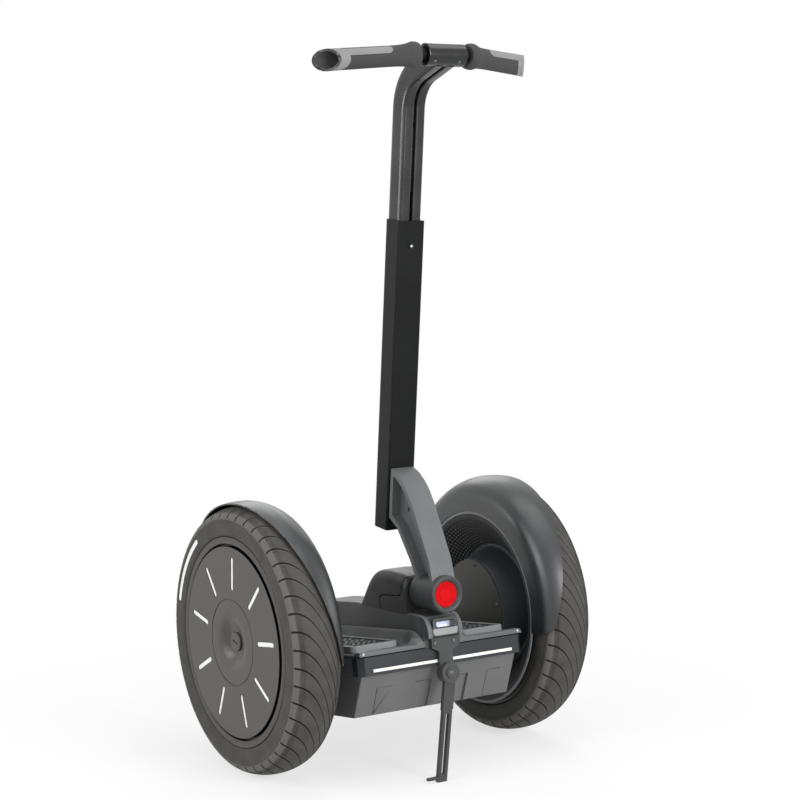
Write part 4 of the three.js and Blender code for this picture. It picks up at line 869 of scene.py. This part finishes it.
# The tray is one flowing surface: lips at both ends, a console ridge in a dark gap, a bowl for each mat
traySizes = {
    "halfWidth": 173, "bottom": -37, "deck": -33, "edge": 6, "edgeShare": 0.6, "blend": 2.2,
    "outerBlend": 0.6, "lipBlend": 1.0,
    "side": [(-48, 90), (-20, 74), (-11, 52), (-8.2, 38.5), (-5.3, 26), (-3.2, 14.5), (-1.4, 3),
             (-0.4, -5), (0, -9), (0.9, -9.4), (1.1, -7), (1.5, -5.2), (2.2, -4.2), (3.2, -3.9),
             (4.6, -4.4), (6.4, -6.4), (8.6, -9.8), (11, -14.2), (13.5, -18.8), (16.5, -23.4), (20, -27.6),
             (24, -30.6), (29, -32.4), (36, -33)],
    "crest": smoothCurve([(-204, 17.5), (-190, 19.5), (-170, 21.5), (-147, 24), (-100, 28.3), (-50, 33),
                          (4, 37.6), (80, 38), (155, 37.8), (168, 34.5), (178, 25), (185, 10), (190, -12),
                          (194, -27), (198, -32.6), (204, -33)], 5),
    "waist": smoothCurve([(-204, 37.6), (-198, 38.6), (-191, 40.8), (-183, 43.4), (-174, 45.2), (-164, 46),
                          (-150, 46), (204, 46)], 5),
    "drop": smoothCurve([(-204, 0.14), (-203, 0.2), (-202, 0.3), (-200, 0.43), (-197, 0.58), (-193, 0.73),
                         (-188, 0.86), (-182, 0.95), (-175, 0.99), (-166, 1), (-100, 1), (166, 1),
                         (175, 0.99), (182, 0.93), (188, 0.8), (193, 0.6), (198, 0.36), (203, 0.16)]),
    "lip": smoothCurve([(-203, -31.4), (-202.6, -29.8), (-201.8, -28.4), (-200.4, -27.4), (-198, -27),
                        (-192, -27), (-188, -27.2), (-185.4, -28.2), (-183, -30.4), (-180.6, -32.3),
                        (-178, -33), (-170, -33)], 3),
    "acrossSpans": [(0, 26, 5), (26, 36, 1.6), (36, 49, 0.5), (49, 76, 1.5), (76, 165, 11), (165, 173, 1)],
    "alongSpans": [(-203, -198, 0.6), (-198, -186, 1.6), (-186, -178, 1), (-178, -140, 3), (-140, 150, 10),
                   (150, 178, 2.5), (178, 198, 1.2), (198, 203, 0.8)],
    "inlet": boxOutline(-17.4, -13.4, 17.4, 9.4), "inletBack": -188, "cutFrom": -230,
    "pocket": roundedBox(26.6, -17.6, 14.6, 6.5), "pocketFace": -212.6,
    "nose": [(-192, 17.4), (-200, 16.6), (-205, 14.2), (-209, 9.6), (-212, 3.8), (-214.4, -3),
             (-216.2, -10), (-216.6, -15), (-216, -18.2), (-214.2, -19.6), (-203, -19.6), (-192, -19.6)],
    "noseHalf": 37, "noseBevel": 1.2, "darkBelow": -35.4, "lipStart": 186.5, "lipTop": -18,
    "screwReach": 165, "screwPlace": (-202.6, -31.5), "screw": (2.6, 1.2),
}


def trayTop(x, y):
    s = traySizes
    aside = abs(x) - readTable(s["waist"], y)
    height = readTable(s["side"], aside)
    if aside > 0:
        height = s["deck"] + (height - s["deck"]) * readTable(s["drop"], y)
    height = softMin(height, readTable(s["crest"], y), s["blend"] if aside < 0 else s["outerBlend"])
    height = -softMin(-height, -readTable(s["lip"], -abs(y)), s["lipBlend"])
    past = max(0, (abs(x) - s["halfWidth"] + s["edge"]) / s["edge"])
    return height - s["edge"] * (1 - math.sqrt(max(0, 1 - min(1, past) ** 2))) * s["edgeShare"]


def buildTray():
    s = traySizes
    across, along = mirroredPlaces(s["acrossSpans"]), spacedPlaces(s["alongSpans"])
    tray = reliefSolid("tray", across, along, trayTop, lambda x, y: s["bottom"])
    nose = prismPiece("trayNose", s["nose"], "X", -s["noseHalf"], s["noseHalf"])
    for piece in (tray, nose):
        fitTool(piece, prismPiece("inletRoom", s["inlet"], "Y", s["cutFrom"], s["inletBack"]))
    fitTool(nose, prismPiece("doorRoom", s["pocket"], "Y", s["cutFrom"], s["pocketFace"]))
    tray = joinPieces("tray", [tray, finishEdges(nose, s["noseBevel"], 3)])
    splitAt(tray, s["darkBelow"])
    smoothFaces(tray, 38)
    place = places["chassis"]
    settle(tray, place, "chassis", "dark_plastic", "tray", "deck_tray")

    def onLip(local):
        return abs(local.y) > s["lipStart"] and local.z < s["lipTop"] and abs(local.x) > s["noseHalf"]

    # the lips are painted in the lighter trim finish, a painted highlight for the light their fronts catch;
    # their lowest faces take the near-black gap finish, painted shade
    paintFaces(tray, place, "trim", onLip)
    paintFaces(tray, place, "gap", lambda local: onLip(local) and local.z < s["darkBelow"])


buildTray()

# Bumpers, reflector strips and batteries, at both ends
batterySizes = {
    "faceEdge": (-190, -70.3), "faceRun": 36, "faceDrop": 72.7, "louvreDepth": 2.2, "louvreLow": -84,
    "louvreHigh": -28, "louvres": [(-128.5, -95.5, -1), (-47, -13, 1), (42, 64, 1), (107, 137, -1)],
    "above": 3, "feather": 0.02, "lineHeight": 1.7, "lineDepth": 2.9, "edgeWide": 2.6, "edgeThin": 0.3,
    "paintFrom": 0.2, "paintTo": 4,
}


def batteryFace(rear):  # the sloping face of a battery, measured from its top edge
    s = batterySizes
    slope = Matrix.Rotation(math.atan2(s["faceRun"], s["faceDrop"]), 4, "X")
    seat = Matrix.Translation((0, *s["faceEdge"])) @ slope @ Matrix.Scale(-1, 4, (0, 1, 0))
    return places["chassis"] @ Matrix.Rotation(math.pi if rear else 0, 4, "Z") @ seat


def louvreTools(start, end, deepSide, seat):  # a shallow wedge that fades out, with a line at two sides
    s = batterySizes
    deep, thin = (start, end) if deepSide < 0 else (end, start)
    low, high, sunk = s["louvreLow"], s["louvreHigh"], -s["lineDepth"]
    side = deep + (s["edgeWide"] if deep < thin else -s["edgeThin"])
    shapes = [("louvreTool", low, (deep, -s["louvreDepth"]), (thin, s["feather"])),
              ("louvreLine", high - s["lineHeight"], (deep, sunk), (thin, sunk)),
              ("louvreEdge", low, (deep, sunk), (side, sunk))]
    tools = []
    for name, foot, first, last in shapes:
        outline = [(deep, s["above"]), first, last, (last[0], s["above"])]
        tools.append(prismPiece(name, outline, "Z", foot, high))
        movePiece(tools[-1], Matrix.Scale(mm, 4) @ seat)
        tidyNormals(tools[-1], gaps["tool"])
    return tools


def buildEnd(end):
    s = batterySizes
    dressNode(f"bumper_{end}", f"bumper_bar_{end}", "chassis", "dark_plastic", "bumper", 1.8, 3)
    dressNode(f"reflector_{end}", f"reflector_strip_{end}", "chassis", "white_inlay", "white", 0.5)
    battery = dressNode(f"battery_{end}", f"battery_pack_{end}", "chassis", "battery_plastic", "battery",
                        3.0, 3, 25)
    seat = batteryFace(end == "rear")
    for louvre in s["louvres"]:
        for tool in louvreTools(*louvre, seat):
            fitTool(battery, tool)
    smoothFaces(battery, 25)
    # the floors of the louvre lines and edge grooves are painted near black, painted shade in the recesses
    depths = (-s["paintTo"], -s["louvreDepth"] - s["paintFrom"])
    heights = (s["louvreLow"], s["louvreHigh"])
    paintFaces(battery, seat, "batteryLineShade", lambda at: between(at.y, depths) and between(at.z, heights))


for end in ("front", "rear"):
    buildEnd(end)
for i, (side, turn) in enumerate(((-1, 0), (1, 0), (-1, math.pi), (1, math.pi))):
    corner = Matrix.Translation((side * traySizes["screwReach"], *traySizes["screwPlace"]))
    seat = places["chassis"] @ (Matrix.Rotation(turn, 4, "Z") @ corner)
    screwHead(f"tray_screw_{i}", *traySizes["screw"], seat, "chassis", "steel")
print("platform modelled")

# Pivot block and its cover, arm and badge
blockSizes = {
    "halfWidth": 42, "floorStart": 22.4, "floorSlope": 0.0927, "floorFrom": -147, "leastHeight": 0.5,
    "top": smoothCurve([(-154.7, 77), (-153.6, 81), (-151.5, 84.4), (-147, 87.6), (-138, 90.8),
                        (-122, 94.9), (-106, 98.1), (-92, 99.9), (-78, 100.2), (-66, 99.7), (-56, 98),
                        (-47, 94.6), (-38, 88.4), (-29, 79), (-20, 67.2), (-8, 51.3), (1, 39.6),
                        (4, 36.4)]),
    "shoulder": smoothCurve([(0, 1), (0.5, 1), (0.66, 0.993), (0.78, 0.972), (0.87, 0.935), (0.93, 0.89),
                             (0.97, 0.84), (0.99, 0.79), (1, 0.73)], 3),
    "acrossSpans": [(0, 20, 4), (20, 36, 2), (36, 42, 0.6)],
    "alongSpans": [(-154.7, -148, 0.8), (-148, -60, 4), (-60, 4, 2)],
    "coverBack": -69.5, "coverMiddle": 55.2, "coverFront": -146, "seamHalf": 0.9, "coverTurn": 9,
    "coverBend": 2.7, "far": 200,
}
armSizes = {
    "hubRadius": 33.6, "hubLength": 71,
    "bezel": [(0.6, 33.3), (-1.0, 33.4), (-2.6, 32.9), (-3.9, 31.9), (-4.6, 30.4), (-4.7, 28.8),
              (-4.2, 27.1), (-3.1, 25.5), (-1.6, 24.3), (0, 23.6), (1.4, 23.4), (1.4, 33)],
    "badge": [(2.7, 0), (2.7, 22.9), (0.6, 22.9), (0.2, 22.4), (0.3, 21.6), (0.9, 21.0), (0.9, 16.2),
              (1.5, 15.7), (1.5, 14.3), (0.9, 13.8), (0.8, 6), (0.7, 0)],
}


def blockFloor(x, y):
    return blockSizes["floorStart"] + (y - blockSizes["floorFrom"]) * blockSizes["floorSlope"]


def blockTop(x, y):
    share = readTable(blockSizes["shoulder"], abs(x) / blockSizes["halfWidth"])
    return max(blockFloor(x, y) + blockSizes["leastHeight"], readTable(blockSizes["top"], y) * share)


def coverRoom(offset):  # the rear and upper share of the block, grown by an offset
    s = blockSizes
    back, middle, front = (s[key] - offset for key in ("coverBack", "coverMiddle", "coverFront"))
    turn, bend, far = s["coverTurn"], s["coverBend"], s["far"]
    points = [(back, -far), (back, middle - turn), (back - bend, middle - bend), (back - turn, middle),
              (front + turn, middle), (front + bend, middle + bend), (front, middle + turn), (front, far),
              (far, far), (far, -far)]
    return prismPiece("coverRoom", points, "X", -far, far)


across, along = mirroredPlaces(blockSizes["acrossSpans"]), spacedPlaces(blockSizes["alongSpans"])
block = reliefSolid("pivot_block", across, along, blockTop, blockFloor)
lid = copyPiece(block, "pivot_lid")
fitTool(block, coverRoom(blockSizes["seamHalf"]))
fitTool(lid, coverRoom(-blockSizes["seamHalf"]), "INTERSECT")
for piece, node in ((block, "pivot_housing"), (lid, "pivot_cover")):
    finishEdges(piece, 1.0, 3, 50, 50)
    settle(piece, places["chassis"], "chassis", "dark_plastic", "darkPlastic", node)
arm = dressNode("lower_arm", "arm", "steering", "cast_metal", "cast", 1.4, 3)
# the hub cylinder of the arm is painted in a darker copy of the cast finish, painted shade on its side away
# from the light
paintFaces(arm, places["pivot"], "hubCastShaded", lambda local: math.hypot(local.x, local.z) < armSizes["hubRadius"]
           and local.y < armSizes["hubLength"])
bezel = turnedPiece("hub_bezel", armSizes["bezel"], axis="Y")
smoothFaces(bezel, 50)
# the bezel takes the same darker copy, painted shade
settle(bezel, places["pivot"], "steering", "cast_metal", "hubCastShaded")
badge = turnedPiece("hub_badge", armSizes["badge"], axis="Y")
smoothFaces(badge, 40)
settle(badge, places["pivot"], "steering", "badge_red", "badge", "badge")
print("arm modelled")

# Charge panel and stand
panelSizes = {
    "flap": roundedBox(26, -17, 14, 6), "flapSpan": (-213.2, -216.9), "flapBevel": (1.5, 4), "bandTop": -4.5,
    "windowRoom": roundedBox(19.6, -2.6, 8.6, 3.6), "windowCut": (-230, -200),
    "window": roundedBox(19, -2, 8, 3.2), "windowSpan": (-213.4, -216.6), "windowBevel": (0.8, 3),
    "trim": [(-150, 24.5), (-190, 20.6), (-199, 19), (-206, 15), (-211, 9), (-214.6, 1), (-216.8, -8),
             (-217.4, -19), (-215.5, -21), (-210, -14), (-205, 0), (-198, 10), (-180, 16), (-150, 18)],
    "trimSpan": (28.4, 36.9), "trimBevel": (2.6, 5),
    "bracketScrew": (5.0, 2.2), "bracketScrewPlace": (20, -211.3, -29.8),
    "boltSocket": (4.4, 1.2), "boltPlace": (0, -225.2, -84),
}


def atChassis(place, sign=1):
    return onSide(places["chassis"], sign) @ Matrix.Translation(place)


flap = prismPiece("charge_flap", panelSizes["flap"], "Y", *panelSizes["flapSpan"])
fitTool(flap, prismPiece("windowRoom", panelSizes["windowRoom"], "Y", *panelSizes["windowCut"]))
finishEdges(flap, *panelSizes["flapBevel"], 40, 50)
splitAt(flap, panelSizes["bandTop"])
settle(flap, places["chassis"], "charge_door", "light_plastic", "panel", "charge_door")
paintFaces(flap, places["chassis"], "tray", lambda local: local.z > panelSizes["bandTop"])
glass = prismPiece("charge_window", panelSizes["window"], "Y", *panelSizes["windowSpan"])
finishEdges(glass, *panelSizes["windowBevel"], 40, 50)
settle(glass, places["chassis"], "charge_door", "lens", "window", "door_window")
dressNode("stand_bracket", "stand_plate", "chassis", "stand_metal", "stand", 1.0, 3)
dressNode("stand_leg", "stand_arm", "stand", "stand_metal", "stand", 0.9)
dressNode("stand_bolt", "stand_pin", "chassis", "steel", "stand", 0.6)
screwHead("stand_socket", *panelSizes["boltSocket"], atChassis(panelSizes["boltPlace"]), "chassis")
for side, sign in sides.items():
    trim = prismPiece(f"nose_trim_{side}", panelSizes["trim"], "X", *panelSizes["trimSpan"])
    finishEdges(trim, *panelSizes["trimBevel"], 40, 60)
    settle(trim, onSide(places["chassis"], sign), "chassis", "dark_plastic", "trim")
    seat = atChassis(panelSizes["bracketScrewPlace"], sign)
    screwHead(f"bracket_screw_{side}", *panelSizes["bracketScrew"], seat, "chassis")
print("charge panel and stand modelled")

# Mast and clamp
mastSizes = {
    "slotHalf": 2.6, "slotLow": 430, "slotTop": 615, "holeHalf": 2.4, "holeLow": 726, "holeTop": 737,
    "slotCut": (-30, -8), "lobeMiddle": 11.9, "lobeHalf": 12.2, "halfDepth": 21.1,
    "lobeTurns": [118, 108, 99, 90, 80, 70, 60, 50, 40, 30, 22, 15, 10, 6, 3, 1],
    "groove": [(0, -14.4), (1.9, -14.4), (2.7, -15.6), (3.1, -17.6)],
    "foot": 250, "straight": 762, "bendRadius": 75, "bendDegrees": 65, "tail": 63.6, "clampRoom": 20.2,
    "roomHalf": 60, "frontCut": 9.9, "frontLow": 40, "bevel": 0.25, "bendSteps": 24,
    "screw": (2.6, 1.4), "screwPlace": (0, -27.25, 519),
}
clampSizes = {
    "centre": (0, -196.0, 1274.5), "notch": boxOutline(-1.2, 16.5, 1.2, 24), "notchSpan": (-1.5, 1.5),
    "barrel": [(-39, 11.4), (-39, 18.8), (-38.4, 19.6), (-37.6, 19.8), (37.6, 19.8), (38.4, 19.6),
               (39, 18.8), (39, 11.4)],
    "screws": [-26, 24], "screw": (3.0, 1.2), "screwTurn": 38, "screwSeat": (0, -19.4, 0),
}


def mastOutline():  # two rounded lobes with a groove between them, front and back
    s = mastSizes
    front = list(s["groove"])
    for degrees in s["lobeTurns"]:
        aside, ahead = math.cos(math.radians(degrees)), math.sin(math.radians(degrees))
        x = s["lobeMiddle"] + s["lobeHalf"] * math.copysign(math.sqrt(abs(aside)), aside)
        front.append((x, -s["halfDepth"] * math.sqrt(ahead)))
    right = front + [(s["lobeMiddle"] + s["lobeHalf"], 0)] + [(x, -y) for x, y in front[::-1]]
    return right + [(-x, y) for x, y in right[::-1] if x > 0]


def buildMast():
    s = mastSizes
    bend = math.radians(s["bendDegrees"])
    mast = prismPiece("mast_tube", mastOutline(), "Z", s["foot"], s["straight"])
    openFaces(mast, facesUp)
    centre = (0, -s["bendRadius"], s["straight"])
    bpy.ops.mesh.spin(steps=s["bendSteps"], angle=bend, center=centre, axis=(-1, 0, 0))
    extrudeBy((0, -s["tail"] * math.sin(bend), s["tail"] * math.cos(bend)))
    closeEdit()
    tidyNormals(mast, 0.01)
    y = -s["bendRadius"] * (1 - math.cos(bend)) - s["tail"] * math.sin(bend)
    z = s["straight"] + s["bendRadius"] * math.sin(bend) + s["tail"] * math.cos(bend)
    half = s["roomHalf"]
    room = turnedPiece("clampRoom", boxOutline(-half, 0, half, s["clampRoom"]))
    movePiece(room, Matrix.Translation((0, y, z)))
    fitTool(mast, room)
    front = boxOutline(y - half, z - s["frontLow"], y - s["frontCut"], z + half)
    fitTool(mast, prismPiece("clampFront", front, "X", -half, half))
    for key in ("slot", "hole"):
        outline = capsule(s[f"{key}Half"], s[f"{key}Low"], s[f"{key}Top"])
        fitTool(mast, prismPiece("slotTool", outline, "Y", *s["slotCut"]))
    return finishEdges(mast, s["bevel"], 1, 50)


dressNode("mast_sleeve", "sleeve", "steering", "mast_metal", "blackMetal", 0.7)
settle(buildMast(), places["mast"], "mast_slide", "mast_metal", "mastTube", "inner_mast")
seat = places["mast"] @ Matrix.Translation(mastSizes["screwPlace"])
screwHead("height_screw_head", *mastSizes["screw"], seat, "steering", "steel")
clamp = turnedPiece("stem_clamp", clampSizes["barrel"])
fitTool(clamp, prismPiece("notch", clampSizes["notch"], "X", *clampSizes["notchSpan"]))
smoothFaces(clamp, 35)
clampPlace = Matrix.Translation(clampSizes["centre"])
settle(clamp, clampPlace, "mast_slide", "mast_metal", "clampMetal", "bar_clamp")
for i, x in enumerate(clampSizes["screws"]):
    turn = Matrix.Rotation(math.radians(clampSizes["screwTurn"]), 4, "X")
    seat = clampPlace @ Matrix.Translation((x, 0, 0)) @ turn @ Matrix.Translation(clampSizes["screwSeat"])
    screwHead(f"clamp_screw_{i}", *clampSizes["screw"], seat, "mast_slide")

# Grips and their light trims
gripSizes = {
    "start": (46, -196.0, 1274.5), "reach": (158.5, 47, -12),
    "skin": [(1.6, 11.5), (1.6, 17.6), (3.4, 20), (6.5, 21.3), (9, 22.3), (13, 22.8), (16.5, 22.8),
             (20, 21.6), (26, 19.9), (34, 18.7), (46, 18.1), (60, 18.0), (90, 18.2), (119, 18.4),
             (150, 18.6), (196, 18.8)],
    "bore": [(196, 14.6), (118.5, 14.6), (118, 11.5)],
    "trim": [(40, 14.7), (40, 18.5), (196, 19.1), (196, 14.7)],
    "ringWidth": 11, "stripHalf": 7.5, "stripSpan": (52, 240), "stripCut": (4, 40), "stripTurn": 50,
    "cut": 48.6, "slab": 60, "trimBevel": 0.3,
}
gripStart = Vector(gripSizes["start"])
gripEnd = gripStart + Vector(gripSizes["reach"])


def endSlab(offset):  # all that lies past the slanted end of a grip
    size = gripSizes["slab"]
    slab = prismPiece("endSlab", boxOutline(-offset, -2 * size, 2 * size, 2 * size), "Z", -size, size)
    slant = Matrix.Rotation(-math.radians(gripSizes["cut"]), 4, "Z")
    movePiece(slab, Matrix.Translation(((gripEnd - gripStart).length, 0, 0)) @ slant)
    return slab


def gripPlace():
    along = (gripEnd - gripStart).normalized()
    across = Vector((0, 0, 1)).cross(along).normalized()
    return Matrix.Translation(gripStart) @ Matrix((along, across, along.cross(across))).transposed().to_4x4()


def buildGrip(side, sign):
    s = gripSizes
    place = gripPlace() if sign > 0 else mirrorX @ gripPlace()
    grip = turnedPiece(f"hand_grip_{side}", s["skin"] + s["bore"])
    fitTool(grip, endSlab(0))
    smoothFaces(grip, 35)
    trim = turnedPiece(f"hand_trim_{side}", s["trim"])
    zone = prismPiece("stripZone", capsule(s["stripHalf"], *s["stripSpan"]), "Z", *s["stripCut"])
    turn = Matrix.Rotation(math.radians(s["stripTurn"]), 4, "X")
    movePiece(zone, turn @ Matrix.Rotation(-math.pi / 2, 4, "Z"))
    fitTool(zone, endSlab(s["ringWidth"]), "UNION")
    fitTool(trim, zone, "INTERSECT")
    fitTool(trim, endSlab(0))
    finishEdges(trim, s["trimBevel"], 1, 50, 35)
    settle(grip, place, "mast_slide", "grip_rubber", "grip", f"grip_{side}")
    settle(trim, place, "mast_slide", "light_plastic", "lightPlastic", f"grip_trim_{side}")


for side, sign in sides.items():
    buildGrip(side, sign)
print("mast and bar modelled")

# Nodes that keep their own mesh
keptNodes = {
    "steel": ["output_shaft_left", "output_shaft_right", "output_bearing_left", "output_bearing_right",
              "motor_rotor_left", "motor_rotor_right", "pivot_shaft"],
    "cast": ["motor_stator_left", "motor_stator_right"], "board": ["controller_board"],
    "darkPlastic": ["balance_sensor", "charge_inlet"], "elastomer": ["centring_bush"],
    "clampMetal": ["height_screw"], "blackMetal": ["handlebar"],
}
for finish, nodes in keptNodes.items():
    for node in nodes:
        piece = frame["nodes"][node]
        piece.data.materials.clear()
        piece.data.materials.append(finishes[finish])
print("kept nodes dressed")

# Floor, world, lamps and camera
stageSizes = {
    "floor": {"Base Color": (0.9, 0.9, 0.9, 1), "Roughness": 0.9, "Specular IOR Level": 0.1},
    "floorSize": 40, "whiter": {"From Min": 0.25, "From Max": 1.1, "To Min": 0.68}, "ambient": 0.38,
    "lamps": [  # name, place, target, size, power
        ("top", (0.3, -0.3, 3.2), (0, 0, 0.4), 2.4, 26),
        ("key", (0.7, -3.6, 1.7), (0, 0, 0.5), 1.5, 92),
        ("left", (-2.7, -0.8, 1.9), (0.1, 0, 0.4), 1.9, 40),
        ("leftRear", (-3.0, 1.5, 1.0), (0.1, 0, 0.6), 1.1, 24),
        ("right", (3.4, -0.9, 1.35), (0.2, 0, 0.5), 1.6, 14),
        ("rear", (1.4, 2.6, 2.0), (0, 0, 0.7), 1.8, 15),
    ],
    "lens": 90.08, "place": (-1.94546, -3.09077, 1.11617), "right": (0.84153024, -0.54020101, 0.00311695),
    "up": (0.06491626, 0.10685187, 0.99215349), "forward": (0.53629537, 0.83472483, -0.12498691),
}


def rayShare(tree, *kinds):  # 1 for rays of these kinds, 0 for the others
    path = addNode(tree, "LightPath").outputs
    share = path[f"Is {kinds[0]} Ray"]
    for kind in kinds[1:]:
        share = reckon(tree, "MAXIMUM", share, path[f"Is {kind} Ray"])
    return share


def addFloor():  # catches the shadow near the part, and is as white as the world further out
    s = stageSizes
    bpy.ops.object.select_all(action="DESELECT")
    bpy.ops.mesh.primitive_plane_add(size=s["floorSize"], location=(0, 0, 0))
    floor = newestPiece("floor")
    paper = bpy.data.materials.new("floorPaper")
    paper.use_nodes = True
    tree = paper.node_tree
    shader = tree.nodes["Principled BSDF"]
    for label, value in s["floor"].items():
        feed(tree, shader.inputs[label], value)
    away = addNode(tree, "VectorMath")
    away.operation = "LENGTH"
    feed(tree, away.inputs[0], addNode(tree, "TexCoord").outputs["Object"])
    whiter = addNode(tree, "MapRange", {"Value": away.outputs["Value"], **s["whiter"]})
    whiter.interpolation_type = "SMOOTHSTEP"
    blend = addNode(tree, "MixShader")
    share = reckon(tree, "MULTIPLY", rayShare(tree, "Camera", "Glossy"), whiter.outputs["Result"])
    for i, value in enumerate((share, shader.outputs[0], addNode(tree, "Emission").outputs[0])):
        feed(tree, blend.inputs[i], value)
    feed(tree, tree.nodes["Material Output"].inputs["Surface"], blend.outputs[0])
    floor.data.materials.append(paper)


def addWorld():  # white where it is seen or mirrored, and a weaker light on the part
    world = bpy.data.worlds.new("studio")
    bpy.context.scene.world = world
    world.use_nodes = True
    tree = world.node_tree
    seen = rayShare(tree, "Camera", "Glossy", "Transmission")
    level = addNode(tree, "MapRange", {"Value": seen, "To Min": stageSizes["ambient"], "To Max": 1.0})
    feed(tree, tree.nodes["Background"].inputs["Strength"], level.outputs["Result"])
    feed(tree, tree.nodes["Background"].inputs["Color"], (1, 1, 1, 1))


def addHolder(name, data):
    holder = bpy.data.objects.new(name, data)
    bpy.context.scene.collection.objects.link(holder)
    return holder


addFloor()
addWorld()
for name, place, target, size, power in stageSizes["lamps"]:
    lamp = bpy.data.lights.new(name, "AREA")
    lamp.shape = "DISK"
    lamp.size = size
    lamp.energy = power
    holder = addHolder(name, lamp)
    holder.location = place
    holder.rotation_euler = (Vector(target) - Vector(place)).to_track_quat("-Z", "Y").to_euler()
camera = bpy.data.cameras.new("camera")
camera.lens = stageSizes["lens"]
camera.sensor_width = 36
holder = addHolder("camera", camera)
right, up, forward = (Vector(stageSizes[key]) for key in ("right", "up", "forward"))
turn = Matrix((right, up, -forward)).transposed().to_4x4()
holder.matrix_world = Matrix.Translation(stageSizes["place"]) @ turn
bpy.context.scene.camera = holder
bpy.context.scene.view_settings.view_transform = "Standard"
print("stage set")
